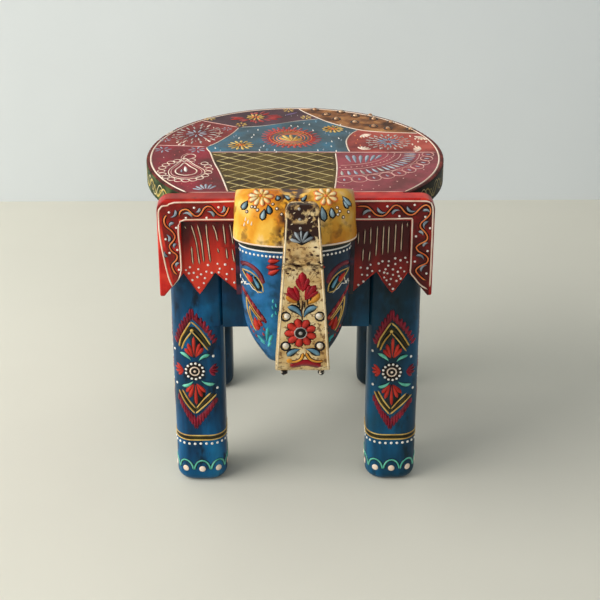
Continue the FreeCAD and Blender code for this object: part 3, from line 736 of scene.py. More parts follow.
def fan(seat):
    """Concentric arcs, teardrops and loops that spread from the right field's inner corner."""
    u, v = 40, 4
    for across, up, width in ((50, 34, 1.4), (62, 45, 1.5), (80, 62, 1.6)):
        seat.line(arc(u, v, across, up, -88, -2), width, PINK_CREAM)
    for _, turn in turns(16, -4, -5.6):
        seat.dot(*on_oval(u, v, turn, 56, 39.5), 1.0, PINK_CREAM, 0.4)
    for low, high in (
        ((53, -23), (49, -1)), ((57.6, -25), (56, -1)), ((62, -26), (63, -1)),
        ((66.6, -24.4), (70, -1)), ((71, -21), (76.6, -1)), ((75.6, -15.6), (83, -1)),
    ):
        seat.petal(low, high, 4.8, GREY_BLUE, belly=0.7)
    for index, turn in turns(17, -4, -5.2):
        seat.spoke(u, v, turn, (64, 47), (78, 60.5), 4.0, PALE_GREY if index % 3 == 1 else GREY_BLUE)
    for index, turn in turns(10, -4, -9.2):
        grow = 1 + 0.35 * index / 9
        middle = on_oval(u, v, turn, 88, 67 + 3 * grow)
        if inside(middle, 8):
            seat.loop(arc(*middle, 5.6 * grow, 6.2 * grow, 0, 324, 9), 1.5, PINK_CREAM, 0.5, 1.6)
            seat.spoke(*middle, turn, (-3, -3), (3, 3), 2.8, GREY_BLUE)
    for place in ((112, -55), (100, -62), (61, -80), (44, -80), (76, -80), (60, -90), (93, -70),
                  (70, -88), (86, -84), (52, -88), (106, -48), (120, -40)):
        seat.petal(place, (place[0] + sway(1), place[1] - 3), 1.9, PINK_CREAM, lift=0.4)


def right_upper_motifs(seat):
    grey_burst(seat, 92, 35, 21, GREY_BLUE, PALE_GREY)
    seat.flower(92, 35, 15, 23, 18, 2.8, PALE_GREY, 0.1)
    seat.flower(92, 35, 3, 12, 11, 2.8, SLATE, 0.3, lift=0.7)
    for u, v, start in ((68, 58, 250), (66, 12, 20), (127, 50, 180), (123, 13, 110)):
        for _, turn in turns(5, start, 26):
            seat.spoke(u, v, turn, (0, 0), (9, 11), 3.2, CREAM)
    for u, v in ((115, 48), (119, 40), (121, 32), (124, 40), (115, 24), (118, 18), (129, 32), (130, 40)):
        seat.petal((u, v), (u + sway(1), v + 6), 2.6, CREAM, lift=0.45)
    for u, v in ((60, 50), (62, 38), (60, 28), (66, 44), (64, 22)):
        seat.petal((u, v), (u, v + 6), 3, ORANGE, lift=0.2)


def copper_motifs(seat):
    """A dark ring round each stud, whose dome stands clear of the top: partly the patch's own dark ring and
    partly painted shadow round the dome.
    """
    studs = []
    for vertex in nodes["top_studs"].data.vertices:
        if vertex.co.z > seat_height + 0.2 * MM:
            for stud in studs:
                if (vertex.co.xy - stud[0]).length <= 6 * MM:
                    stud.append(vertex.co.xy)
                    break
            else:
                studs.append([vertex.co.xy])
    for stud in studs:
        middle = sum(stud, Vector((0, 0))) / len(stud)
        u, v = middle.x / MM, (middle.y - seat_middle) / MM
        seat.loop(arc(u, v - 1, 3.8, 5.0, 0, 324, 9), 3.2, BROWN, 0.4, 2)


def seat_motifs():
    seat = Painting(["seat_top"], from_above)
    purple_spray(seat)
    left_upper_motifs(seat)
    left_lower_motifs(seat)
    centre_motifs(seat)
    fan(seat)
    right_upper_motifs(seat)
    copper_motifs(seat)
    return seat.hang("seat_motifs")


# The cloth

RIGHT_TAB_DOTS = [
    (90.8, 244.1), (100.1, 244.6), (79.2, 241.1), (85, 241.2), (95.7, 242.1), (75.8, 238.9), (91.1, 238.4),
    (102, 240.2), (84.6, 236.8), (82.2, 233.1), (89, 233), (96.1, 234.5), (76.8, 231.6), (93.6, 230.5),
    (99.5, 230.9), (81.1, 229.8), (84.1, 228.9), (89.2, 227.4), (94.7, 226.1), (81.2, 224.8), (83.5, 221.9),
    (87.4, 223.3), (92.6, 221.3), (96.4, 223.6), (86.4, 217.7), (89.6, 213.1), (59.4, 234.9), (65.5, 234.2),
    (68.4, 237.7), (60.7, 227.7), (65.5, 227.2), (70, 231.4), (62.1, 220.8), (57.5, 217.3), (52, 229),
    (49, 222),
]
LEFT_TAB_DOTS = [
    (97, 235.8), (100.8, 233), (89.3, 233.8), (80.4, 237.9), (98.1, 229.7), (82, 231.3), (77, 230.1),
    (90.4, 225.9), (83.5, 224.7), (95, 222.8), (84.6, 219.7), (89.4, 215.2), (93.6, 230.2), (87, 228.6),
    (71.6, 239.2), (64.6, 238.4), (69.6, 234.2), (58.2, 233.8), (70.6, 230.5), (63.2, 228.8), (63.9, 223.6),
    (56.4, 220.1), (52, 229), (49.5, 223),
]
RIGHT_WAVE = [
    (54, 297), (58.5, 297.6), (64, 297), (68, 293.3), (71.5, 289.6), (76.5, 288), (80.5, 289.3),
    (84, 293.5), (87.5, 297.6), (90.5, 298.4), (94, 296.6), (98, 291.5), (102.5, 289), (106.5, 290),
    (110.5, 294.3), (114.6, 298), (118, 298.2), (120.6, 295), (120.4, 289.6), (116.4, 284.6),
    (112.6, 280.8), (112.4, 276.7), (116.2, 272.6), (119, 267.8), (118, 263.7), (112.4, 260.5),
    (109.2, 257.2), (111.5, 253.2), (117.1, 249.9), (120.4, 245.9), (119, 241.4), (113.4, 238.6),
    (109.6, 234.5), (111.5, 230.5), (117.1, 225), (119.6, 223.9),
]
LEFT_WAVE = [
    (59.5, 298), (61.6, 292.6), (64.5, 288.8), (69, 289.8), (73, 294), (76, 297.6), (78.8, 298), (82, 296),
    (84.6, 291.4), (87.4, 288.6), (90.4, 288.8), (93.4, 291.4), (96.6, 294.6), (100, 295), (103.6, 292.8),
    (104.6, 288),
]
LEFT_SIDE_WAVE = [
    (115.6, 290), (118.2, 285.6), (117.2, 279.4), (111.4, 273.6), (109, 268.6), (111, 264), (114.4, 259.6),
    (112.8, 254.6), (107.8, 250), (109, 245), (112.8, 240.5), (111.5, 234.5), (108.4, 230.3),
]
# Each comma's pointed end and round end, and the dot beside it
RIGHT_COMMAS = [
    ((70, 292), (60, 288.6), (66, 287.4)), ((81.4, 291.9), (73, 296.6), (82, 297.3)),
    ((93.4, 293.2), (86.4, 289), (93, 287.8)), ((108, 293), (99.6, 297.4), (106.4, 298.6)),
    ((120.6, 290.6), (113.6, 292.6), (116.4, 287)), ((114.8, 268.6), (110.4, 272.6), (108.6, 268)),
    ((116.2, 275), (119.6, 283), (121, 276)), ((120.2, 261.4), (115.6, 257.4), (119.6, 253.4)),
    ((116.4, 244.6), (109, 248.8), (108.4, 243)), ((119.8, 239.2), (114.4, 232.6), (119.4, 231)),
]
LEFT_COMMAS = [
    ((67.8, 291.6), (64.6, 298.6), (69.1, 297)), ((79.4, 292.8), (73.6, 287.2), (80, 286.8)),
    ((89.8, 292.4), (86.2, 296.6), (91, 296.6)), ((101.8, 290.6), (92.9, 286.9), (98.6, 286.8)),
    ((112.6, 287.4), (108, 294.8), (113.6, 292.2)), ((113.6, 277.2), (109, 282), (107.6, 277.2)),
    ((116.8, 270.6), (115.4, 263.4), (117.6, 266)), ((110, 256.8), (107.8, 261.6), (107.4, 255.4)),
    ((118.6, 254.4), (116.2, 248.6), (114.6, 252.4)), ((109, 238), (105.8, 242.6), (106.6, 235.6)),
]
# The points of each fringe line, from its top to its foot
RIGHT_FRINGE = [
    ((57, 272), (56.4, 259)), ((62.6, 274.6), (62, 259)), ((67.8, 276.6), (67.6, 259)),
    ((74, 276.6), (73, 246)), ((79.6, 277), (79, 247)), ((84.4, 277), (84, 248.4)),
    ((90.6, 279), (90, 249.4)), ((96.4, 279.5), (95.8, 250.4)), ((101, 280), (100.8, 275)),
    ((61.4, 254.6), (61, 241)), ((67.6, 252), (66.8, 241)),
]
LEFT_FRINGE = [
    ((100.6, 277), (99.4, 274)), ((94.6, 278), (91, 264), (89.4, 252), (88, 238)),
    ((89, 278.4), (85.8, 262), (84, 240)), ((81, 279), (80.4, 266), (78, 240)),
    ((75.4, 278.4), (72.8, 272), (70.8, 261)), ((65.6, 280), (64.6, 270), (63.8, 259)),
    ((59.6, 280), (58, 270), (56.8, 259)), ((95, 257), (94, 238)), ((71.4, 255), (69.8, 249)),
    ((63.4, 255), (62.4, 243)), ((58, 254.6), (56, 240)),
]


def comma(cloth, tail, head, spot):
    """A curled grey-blue teardrop with a white dot beside it."""
    run = Vector(head) - Vector(tail)
    aside = Vector(spot) - Vector(tail)
    bend = -0.3 * run.length if run.cross(aside) > 0 else 0.3 * run.length
    cloth.petal(tail, head, 4.4, BLACK, bend=bend, lift=0.3)
    cloth.petal(tail, head, 3.2, GREY_BLUE, bend=bend, lift=0.6)
    cloth.dot(*spot, 1.1, WHITE, 0.6)


def front_cloth(name, flip, outer_line, inner_line, waves, commas, fringe, dots):
    """One half of the cloth's front, drawn for the right and turned over for the left."""
    cloth = Painting(["front_valance", "left_flap", "right_flap"], from_front)
    cloth.move(0, 0, flip)
    cloth.line(outer_line, 1.5, CREAM, 0.5, 3)
    cloth.line(inner_line, 1.5, CREAM, 0.5, 3)
    for wave in waves:
        cloth.line(wave, 3.4, BLACK, 0.3, 2)
        cloth.line(wave, 1.9, ORANGE, 0.6, 2)
    for tail, head, spot in commas:
        comma(cloth, tail, head, spot)
    for points in fringe:
        cloth.line(points, 2.4, BLACK, 0.15, 3)
        cloth.line(points, 1.25, FRINGE_LINE, 0.5, 3)
    for u, v in dots:
        cloth.dot(u, v, 1.08 + sway(0.15), WHITE, 0.7)
    cloth.line([(74.6, 230.4), (88.7, 210.4), (102.6, 230.4)], 1.0, SCARLET, 0.4)
    cloth.line([(72.4, 230.8), (51.6, 210.6), (41.6, 219)], 1.0, SCARLET, 0.4)
    return cloth.hang(name)


def front_cloths():
    front_cloth(
        "right_cloth_front", 1,
        [(44, 302.4), (80, 302.4), (110, 302.2), (119, 301.6), (122.6, 297), (123.2, 280), (123.2, 240),
         (123, 217)],
        [(44, 284.9), (80, 285.1), (104.4, 285.4), (104.8, 284.6), (104.9, 262), (104.8, 240), (104.7, 231.8),
         (108.6, 226.6), (114, 219.6), (121.4, 214.6)],
        [RIGHT_WAVE], RIGHT_COMMAS, RIGHT_FRINGE, RIGHT_TAB_DOTS)
    front_cloth(
        "left_cloth_front", -1,
        [(44, 303), (80, 301.9), (109, 301.5), (114.6, 298.8), (120, 298), (122.6, 294.6), (123.2, 288),
         (123, 273.8), (122, 262), (120.2, 249.3), (118.2, 237), (115.6, 225), (112.4, 216.6)],
        [(44, 284.9), (80, 285), (100, 284.8), (104, 283), (105.6, 279), (105.9, 270), (105.2, 261.5),
         (104.7, 249.3), (104.7, 234.6), (106.6, 227.6), (109.4, 221.4), (112.4, 216.6)],
        [LEFT_WAVE, LEFT_SIDE_WAVE], LEFT_COMMAS, LEFT_FRINGE, LEFT_TAB_DOTS)


BAND_HEIGHT = 20.4
TABS = 7
TAB_TOP, TAB_TIP = 230, 210.4
FRINGE_FOOT = 238


def plain_cloth(name, spot, names, start, end, top, tabs_start, tabs_end, slot_half=0.0):
    """A side or the back of the cloth: a band with its wave, fringe lines and a row of dotted tabs."""
    cloth = Painting(names, spot)
    low = top - BAND_HEIGHT
    for height in (top - 2.5, low):
        cloth.line([(start, height), (end, height)], 1.3, CREAM, 0.5, 4)
    count = 2 * round((end - start) / 24)
    pitch = (end - start) / count
    wave = [(start + index * pitch, top - 5.6 if index % 2 else top - 17) for index in range(count + 1)]
    cloth.line(wave, 1.5, ORANGE, 0.5, 2.5)
    for index in range(1, count):
        u = start + index * pitch
        if index % 2:
            comma(cloth, (u + 3.6, top - 12), (u - 3.6, top - 15.6), (u + 2.6, top - 16.6))
        else:
            comma(cloth, (u + 3.6, top - 9.6), (u - 3.6, top - 5.4), (u + 3, top - 5.6))
    width = (tabs_end - tabs_start) / TABS
    for index in range(TABS):
        middle = tabs_start + (index + 0.5) * width
        for step in range(-2, 3):
            u = middle + step * width / 5.2
            if abs(u) > slot_half:
                foot = FRINGE_FOOT - 2 * (step % 2)
                points = [(u, low - 4), (u + sway(0.6), low - 10), (u + sway(0.4), foot)]
                cloth.line(points, 1.1, FRINGE_LINE, 0.4)
        for drop, spread in ((232, 9), (227.5, 6.6), (223, 4.4), (217, 2)):
            for side in (-1, 0, 1):
                u = middle + side * spread + sway(0.5)
                if abs(u) > slot_half and (side or drop > 220):
                    cloth.dot(u, drop + sway(0.5) - abs(side), 1.1, WHITE, 0.6)
        if abs(middle) > slot_half:
            corner = width / 2 - 0.8
            edge = [(middle - corner, TAB_TOP), (middle, TAB_TIP), (middle + corner, TAB_TOP)]
            cloth.line(edge, 0.9, ORANGE, 0.4)
    return cloth.hang(name)


def other_cloths():
    """The cloth's two sides and its back, of which only the sides' front ends show in the photo."""
    near, far, top = cloth_front / MM, cloth_back / MM, cloth_top / MM
    for side, spot in (("right", from_right), ("left", from_left)):
        plain_cloth(side + "_cloth_side", spot, [side + "_flap"], near + 3, far - 3, top,
                    near + 21.5, far - 21.5)
    plain_cloth("cloth_back", from_back, ["back_valance", "left_flap", "right_flap"], -122, 122, top,
                -103.5, 103.5, 9)


# The legs

def dash_band(leg, inner, outer, count):
    """Crimson dashes that lean from an inner curve to an outer one, on a dark ground."""
    near, far = smooth_path(inner, 1.0), smooth_path(outer, 1.0)

    def along(path, share):
        return path[min(len(path) - 1, round(share * (len(path) - 1)))]
    middle = [along(near, step / 6).lerp(along(far, step / 6), 0.4) for step in range(7)]
    leg.line(middle, 5.6, DARK_CRIMSON, 0.2, 3)
    for index in range(count):
        share = (index + 0.5) / count
        leg.petal(along(near, share), along(far, min(1, share + 0.04)), 3.0, RASPBERRY, lift=0.6, belly=0.6)


def leg_motif(leg):
    """The diamond flower, drawn round its own middle."""
    leg.petal((0, 14), (-1, 44), 19, DARK_TEAL, lift=0.3, belly=0.4, steps=8)
    leg.petal((0, -13), (0, -42), 19, DARK_TEAL, lift=0.3, belly=0.4, steps=8)
    for inner, outer in (
        ([(-15.8, 26), (-8.6, 43.5), (-1.6, 55)], [(-19.2, 31), (-12.6, 51), (-1.8, 67.6)]),
        ([(17.8, 27), (10, 43), (-1.2, 55)], [(24.2, 29.6), (14, 50), (-1.2, 67.6)]),
        ([(-16.6, -23.6), (-9.6, -39), (-0.6, -48.6)], [(-18, -31), (-9.4, -49), (-0.6, -65)]),
        ([(20.6, -28), (10.4, -41), (0, -48.6)], [(21.4, -33), (10.6, -49.6), (0, -65)]),
    ):
        dash_band(leg, inner, outer, 8)
    for points, width, paint, lift in (
        ([(-13.2, 24), (-9.6, 36), (-1.8, 47.8)], 3.8, DARK_OLIVE, 0.25),
        ([(-1.8, 47.8), (7.4, 37.4), (14.6, 25)], 3.8, DARK_OLIVE, 0.25),
        ([(-14.3, 24.7), (-11.9, 35), (-6.5, 45.5), (-2, 53)], 1.7, YELLOW, 0.55),
        ([(-2, 53), (4.2, 46.8), (10.7, 37), (16, 27.3)], 1.6, YELLOW, 0.55),
        ([(-11.9, 22.7), (-8.3, 32.5), (-1.5, 42.4)], 1.6, YELLOW, 0.55),
        ([(-1.5, 42.4), (5.4, 33.8), (13.5, 22)], 1.5, YELLOW, 0.55),
        ([(-14.6, -21.6), (-8.4, -33.6), (-0.4, -44)], 3.8, DARK_OLIVE, 0.25),
        ([(-0.4, -44), (8.6, -34.6), (17.6, -24.6)], 3.8, DARK_OLIVE, 0.25),
        ([(-16.2, -22), (-10.6, -33.6), (-0.8, -46.8)], 1.7, YELLOW, 0.55),
        ([(-0.8, -46.8), (9.8, -36.6), (20.4, -26)], 1.6, YELLOW, 0.55),
        ([(-12.8, -20.8), (-6.6, -31.8), (0, -40.9)], 1.6, YELLOW, 0.55),
        ([(0, -40.9), (7.4, -31.4), (14.9, -23.4)], 1.5, YELLOW, 0.55),
    ):
        leg.line(points, width, paint, lift)
    leg.dot(-1.5, 43.6, 1.7, YELLOW, 0.8)
    for tip_u, tip_v in ((-8.8, 24.6), (8.8, 25.6), (-5.8, 30.4), (5.8, 30.6), (0, 38.6)):
        leg.petal((tip_u * 0.16, 15), (tip_u, tip_v), 4.2, RED, lift=0.8)
    for tip_u, tip_v in ((-9, -23.4), (10, -23.4), (-6, -29.6), (6.4, -28.8), (0.6, -38)):
        leg.petal((tip_u * 0.16, -13.4), (tip_u, tip_v), 4.2, RED, lift=0.8)
    for root, tip, bend in (((-3.2, 11.6), (-13.8, 19.2), -1.6), ((4, 11), (15.2, 17.6), 1.6),
                            ((-1.6, -10.4), (-13, -17), 1.6), ((6, -10.2), (19, -14.6), -1.6)):
        leg.petal(root, tip, 5.6, DARK_TEAL, bend=bend, lift=0.3)
        leg.petal(root, tip, 4.2, MINT, bend=bend, lift=0.7)
    for side, root, reach in ((-1, -10.4, 8.6), (1, 13.6, 9.4)):
        for rise, far in ((6.8, 0.8), (2.4, 1.0), (-2.6, 0.95), (-6.0, 0.62)):
            leg.petal((root, 0.6), (root + side * reach * far, rise), 3.2, RED if side < 0 else RASPBERRY)
    leg.loop(arc(0, 0, 7.6, 7.6, 0, 330, 11), 5.4, BLACK, 0.35, 3)
    leg.dot(0, 0, 5, BLACK, 0.4)
    leg.loop(arc(0, 0, 4.3, 4.3, 0, 330, 11), 1.7, CREAM, 0.8, 1.5)
    leg.dot(0, 0, 1.4, CREAM, 0.9)
    for _, turn in turns(13):
        leg.dot(*on_oval(0, 0, turn, 8.4, 8.4), 1.3, WHITE, 0.9)
    for u, v in ((-18.5, 20.5), (18, 15.6), (-17.6, -15.6), (21, -19.7)):
        leg.dot(u, v, 1.4, WHITE, 0.7)


def leg_rings(name, key, start, end):
    """The lines, dots and scallops that run round a leg near its foot, from start to end of its girth."""
    low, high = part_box(key)
    ring = Painting([key], round_leg((low.x + high.x) / 2, (low.y + high.y) / 2))
    girth = 4 * (2 * (LEG_HALF - LEG_ROUND) + LEG_ROUND * math.pi / 2)
    stops = [start + (end - start) * step / 12 for step in range(13)]

    def marks(count):
        """The marks that this ring has, out of a count that would go all round."""
        return range(math.ceil(start * count), math.ceil((end - 0.01) * count))

    for height, width, paint, lift in (
        (50.4, 3.8, DARK_OLIVE, 0.25), (53.0, 1.4, YELLOW, 0.55), (48.0, 1.4, YELLOW, 0.55),
    ):
        ring.line([(share * girth, height) for share in stops], width, paint, lift)
    for index in marks(30):
        ring.dot(index * girth / 30, 43.8 + sway(0.2), 1.4, WHITE, 0.8)
    for index in marks(10):
        u = (index + 0.05) * girth / 10
        for width, paint, lift in ((3.4, DARK_TEAL, 0.2), (2.1, MINT, 0.5)):
            ring.line(arc(u, 13, 7.8, 11.4, 2, 178, 10), width, paint, lift, 1.8)
        ring.dot(u + sway(0.4), 14.8, 3.3, CREAM, 0.8)
    return ring.hang(name)


def legs():
    """All four legs are painted where they face outwards; the two in front have rings all round."""
    for key, name, rings, flowers in (
        ("leg_front_left", "left_front", (0.5, 1.51), ((from_front, -96.4, 124.4), (from_left, None, 124))),
        ("leg_front_right", "right_front", (0.5, 1.51), ((from_front, 91.4, 122.6), (from_right, None, 124))),
        ("leg_back_left", "left_back", (0.40, 0.84), ((from_back, None, 124), (from_left, None, 124))),
        ("leg_back_right", "right_back", (0.16, 0.60), ((from_back, None, 124), (from_right, None, 124))),
    ):
        leg_rings(name + "_leg_rings", key, *rings)
        low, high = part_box(key)
        middle = (low + high) / 2 / MM
        for number, (spot, u, v) in enumerate(flowers):
            narrow = 1
            if spot is from_back:
                u, narrow = middle.x, 0.72
            elif spot is not from_front:
                # In front it is set back, so that it doesn't show round the corner
                u, narrow = middle.y + (4 if low.y < 0 else 0), 0.56
            leg = Painting([key], spot)
            leg.move(u, v, narrow)
            leg_motif(leg)
            leg.hang(f"{name}_leg_flower_{number + 1}")


# The head

def head_bands():
    head = Painting(["head_block"], round_head)
    end = 74
    for height, width, paint, lift in ((279.9, 1.7, CREAM, 0.5), (273.8, 1.5, WHITE, 0.5)):
        head.line([(-end, height - 0.2), (0, height), (end, height + 0.8)], width, paint, lift)
    for index in range(37):
        u = -end + 2 + index * 4
        head.dot(u, 269.8 + 0.012 * u, 1.15, WHITE, 0.6)
    return head.hang("head_bands")


def cap_drop(cap, start, end, width):
    """A slate-blue drop with a black outline."""
    run = (Vector(end) - Vector(start)).normalized()
    cap.petal(Vector(start) - run, Vector(end) + run, width + 2.4, BLACK, lift=0.4, belly=0.6)
    cap.petal(start, end, width, DROP, lift=1.0, belly=0.65)


def cap_ornament():
    cap = Painting(["head_block"], from_brow)
    for centre, tips in (
        ((-30.6, 236.4), ((-41, 231.8), (-36, 227.8), (-28.8, 227), (-22.8, 229.6), (-19.4, 235.4),
                          (-41.4, 237), (-36.6, 241.6), (-29.8, 242.8), (-23.8, 240.8))),
        ((26, 236.2), ((15.8, 239), (16.4, 233), (22.8, 228), (30, 228), (36, 232.4), (20.6, 242.8),
                       (29.4, 243), (35.4, 238.8))),
    ):
        for tip in tips:
            root = Vector(centre).lerp(Vector(tip), 0.25)
            far = Vector(centre).lerp(Vector(tip), 1.1)
            cap.petal(root, far, 5.4, ORANGE, lift=0.35)
            cap.petal(root, tip, 3.9, PALE_YELLOW, lift=0.8)
        cap.flower(*centre, 1, 4.4, 6, 2.4, YELLOW, lift=0.8)
        cap.dot(*centre, 1.4, ORANGE, 1.0)
    for start, end, width in (
        ((-42.2, 231.7), (-46.8, 224.6), 4.6), ((-27.4, 224), (-29.4, 215), 4.6),
        ((-24.4, 227.6), (-22.4, 220), 4.4), ((-16.6, 236), (-15, 232.4), 3.6),
        ((-10.2, 236.4), (-5, 232.8), 2.6), ((22.2, 226.6), (24.6, 213.6), 5.4),
        ((30.4, 225.2), (32, 216.4), 4.4), ((40.4, 235.8), (48, 227.2), 3.8),
        ((41, 232), (45.2, 225.2), 2.8), ((9.2, 236.2), (5, 231.4), 2.8),
    ):
        cap_drop(cap, start, end, width)
    for u, v in (
        (-20.1, 228.6), (-16.6, 224.5), (-12.4, 219.5), (-35.6, 226.1), (-38.3, 226.6), (-33.4, 223.6),
        (-42.8, 222.4), (16.4, 226.8), (37.9, 222.4), (41, 217.4), (35.7, 225.4), (45.6, 222),
        (36.2, 219.5), (18, 220.4), (12.8, 222.8),
    ):
        cap.dot(u, v, 1.7, BLACK, 0.4)
        cap.dot(u, v, 1.05, CREAM, 0.9)
    for u, v in ((-43.6, 218), (-41.4, 215.6), (-44.8, 213.6), (-38.4, 214)):
        cap.petal((u, v), (u - 0.6, v - 4), 1.5, CREAM, lift=0.5)
    return cap.hang("cap_ornament")


def face_side(face):
    """One side of the face, drawn for the left."""
    for tip, root in (((-25, 264.5), (-14, 266.5)), ((-26.5, 258.5), (-14, 260.5)), ((-25, 252), (-14, 258))):
        face.petal(root, tip, 6.6, DARK_CRIMSON, lift=0.4)
        face.petal(root, tip, 4.8, RED, lift=0.7)
    face.line([(-50.5, 255), (-45, 258.4), (-38, 256.6), (-32, 250.5), (-29, 241.5)], 4.6, PURPLE_RED, 0.5)
    face.line([(-48.5, 251.8), (-41, 251.6), (-34.5, 247.4), (-30, 240), (-29.2, 233)], 1.2, YELLOW, 0.55)
    lower_lid = [(-48.5, 251.8), (-44, 245.6), (-40, 240.4), (-37, 237), (-34.6, 233.4), (-29.2, 233)]
    face.line(lower_lid, 1.2, YELLOW, 0.55)
    face.petal((-47, 251.4), (-31, 234.6), 12, DARK_TEAL, lift=0.35, belly=0.5, steps=9)
    face.petal((-44.6, 249.8), (-38.4, 241), 6.4, RED, lift=0.7)
    face.petal((-38.6, 247.6), (-32.4, 235.6), 4.6, PALE_BLUE, lift=0.5)
    lashes = [(-49, 243), (-44.6, 238), (-41.6, 239.4), (-38.6, 235.4), (-35.6, 234.2), (-33.2, 231)]
    face.line(lashes, 1.0, WHITE, 0.5)
    for u, v in ((-51.5, 240), (-49.5, 235), (-46.5, 236.5)):
        face.petal((u, v), (u + 2, v + 4.5), 1.6, WHITE, lift=0.5)
    face.line([(-48.6, 232.6), (-38.6, 217), (-28.4, 202.6)], 6.6, DARK_CRIMSON, 0.2)
    for index in range(10):
        u = -48 + index * 2.1
        v = 233 - index * 3.1
        face.petal((u, v + 2), (u + 1.8, v - 3.8), 3.2, RASPBERRY if index % 2 else DUSTY_RED, lift=0.5)
    face.line([(-44.6, 226), (-38, 214.4), (-30.6, 204.4)], 1.3, YELLOW, 0.55)
    face.line([(-44.6, 226), (-43.4, 212), (-39, 197), (-35.8, 190.4)], 1.3, YELLOW, 0.55)
    face.line([(-41.8, 217), (-37.6, 210.6), (-31.8, 203)], 1.1, YELLOW, 0.5)
    face.line([(-41.8, 217), (-41, 208), (-38.4, 200)], 1.1, YELLOW, 0.5)
    face.petal((-37.4, 207), (-34.4, 191.6), 6.2, RED, lift=0.7)
    face.petal((-34.8, 206), (-30.8, 197), 4.0, RED, lift=0.6)
    for u, v in ((-41.5, 196), (-39.5, 191.5), (-36.8, 187), (-30.5, 191), (-29.8, 197)):
        face.petal((u, v), (u + 1.6, v - 4), 2.0, DUSTY_RED, lift=0.4)
    for start, end, width in (((-26.8, 180), (-25.6, 197.6), 3.4), ((-25.4, 178), (-21.6, 190), 3.2),
                              ((-27.6, 178.4), (-35.4, 186.4), 3.2), ((-25.8, 173.6), (-23.4, 181), 2.8),
                              ((-28, 176.4), (-32.4, 181), 2.4)):
        face.petal(start, end, width, TURQUOISE, lift=0.6)
    for u, v in ((-20.5, 228), (-18.4, 223.5), (-21.6, 221.4), (-18.8, 216), (-20.8, 213)):
        face.petal((u, v), (u + sway(2), v - 4.4), 1.8, TURQUOISE, lift=0.4)


def face_ornament():
    face = Painting(["head_block"], from_front)
    face_side(face)
    face.move(-1, 0, -1)
    face_side(face)
    return face.hang("face_ornament")


# The trunk

TRUNK_FOOT_WIDTH, TRUNK_TIP_WIDTH = 49, 28.5


def trunk_ornament():
    trunk = Painting(["trunk"], from_front)
    low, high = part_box("trunk")
    foot, tip = low.z / MM, high.z / MM
    middle = (low.x + high.x) / 2 / MM

    def edge(v, side):
        """Just inside the trunk's edge at a height."""
        share = (v - foot) / (tip - foot)
        width = TRUNK_FOOT_WIDTH + share * (TRUNK_TIP_WIDTH - TRUNK_FOOT_WIDTH)
        return middle + side * (width / 2 - 1.2)
    for side in (-1, 1):
        trunk.line([(edge(v, side), v) for v in (168, 200, 235, 270, 285, 300, 315)], 1.9, IVORY, 0.3, 3)
    for u, v in ((2.5, 321), (3, 312.6), (3.5, 305.4)):
        trunk.dot(u, v, 1.3, PALE_GREY, 0.9)
    for u, v in ((10, 313), (12, 310), (-5, 308), (-3, 317)):
        trunk.line([(u, v), (u + 2.6, v + 1.4)], 1.0, IVORY, 0.35, 1.5)
    trunk.petal((4.6, 291.4), (4.6, 303.4), 18, BLACK, lift=0.15, belly=0.5, steps=10)
    for u, v, width in (
        (-5.6, 296.6, 3.0), (-1.6, 302.6, 3.0), (4, 304, 2.0), (10, 303, 3.2), (14.6, 298.4, 3.0),
    ):
        trunk.petal((4.4, 293.4), (u, v), width, SILVER, lift=0.6)
    for u, v in (
        (-6, 272), (-3, 270.6), (14.6, 271), (17, 272.6), (-8, 268), (18, 268.6), (-9, 281), (17.6, 283),
        (-6.6, 288), (16, 290), (12.6, 284),
    ):
        trunk.petal((u - 1.6, v), (u + 2, v + sway(1)), 1.8, BROWN, lift=0.15)
    for root, tip, width in (
        ((5.6, 250), (5, 269.4), 8.0), ((5.6, 250), (0.2, 263.4), 5.4), ((5.6, 250), (10.4, 263.4), 5.4),
        ((2.6, 241), (-7.6, 254.6), 7.6), ((2.6, 241), (-9.4, 249), 5.0), ((3, 242), (-2, 256), 4.6),
        ((7, 242), (16.8, 256.8), 7.6), ((7, 242), (19, 251), 5.0), ((7, 243), (11.6, 257.4), 4.6),
    ):
        trunk.petal(root, tip, width, CRIMSON, lift=0.8, belly=0.6)
    trunk.petal((2, 240), (-8.4, 247.6), 6.0, GOLD, bend=1.6, lift=0.6)
    trunk.petal((8, 238.6), (20, 249), 6.4, GOLD, bend=-1.6, lift=0.6)
    for u, v in ((1, 236), (3, 233.6), (5, 232.4), (7, 234), (9.4, 237.4), (12, 240.6)):
        trunk.line([(u, v), (u + sway(1), v + 7.6)], 1.3, BLACK, 0.7)
    trunk.line([(5.2, 222), (4.6, 232), (5.6, 243)], 1.4, BROWN, 0.5)
    for side, root, end in ((-1, (5, 225), (-8, 235.8)), (1, (6.4, 225), (18.4, 235.8))):
        trunk.petal(root, end, 7.6, BLACK, bend=side * 3.0, lift=0.4)
        trunk.petal(root, end, 5.4, SLATE, bend=side * 3.0, lift=0.9)
    red_flower(trunk, 3.6, 210.5)
    for side, root, end in ((-1, (3.6, 194.4), (-8.4, 187.2)), (1, (8, 194.4), (20.6, 187.8))):
        trunk.petal(root, end, 7.4, BLACK, bend=side * 1.6, lift=0.4)
        trunk.petal(root, end, 5.2, SLATE, bend=side * 1.6, lift=0.9)
    trunk.line([(-6, 175.4), (1, 178.6), (8, 180.4), (15, 178.6), (22, 175.6)], 7.6, CRIMSON, 0.4, 2)
    for points in (
        [(6, 191), (4, 184.6), (-1.6, 181.4), (-6, 182.2)], [(8, 191), (12, 184.4), (18, 181.6), (24, 182.4)],
    ):
        trunk.line(points, 4.0, BROWN, 0.3)
        trunk.line(points, 2.6, GOLD, 0.8)
    trunk.dot(-6.2, 182.6, 2.7, GOLD, 1.0)
    for u, v in ((-9.5, 227), (20.5, 227), (-9.5, 198), (20.5, 198)):
        trunk.loop(arc(u, v - 0.6, 4.0, 4.2, 0, 324, 9), 1.9, BLACK, 0.3, 2)
    return trunk.hang("trunk_ornament")


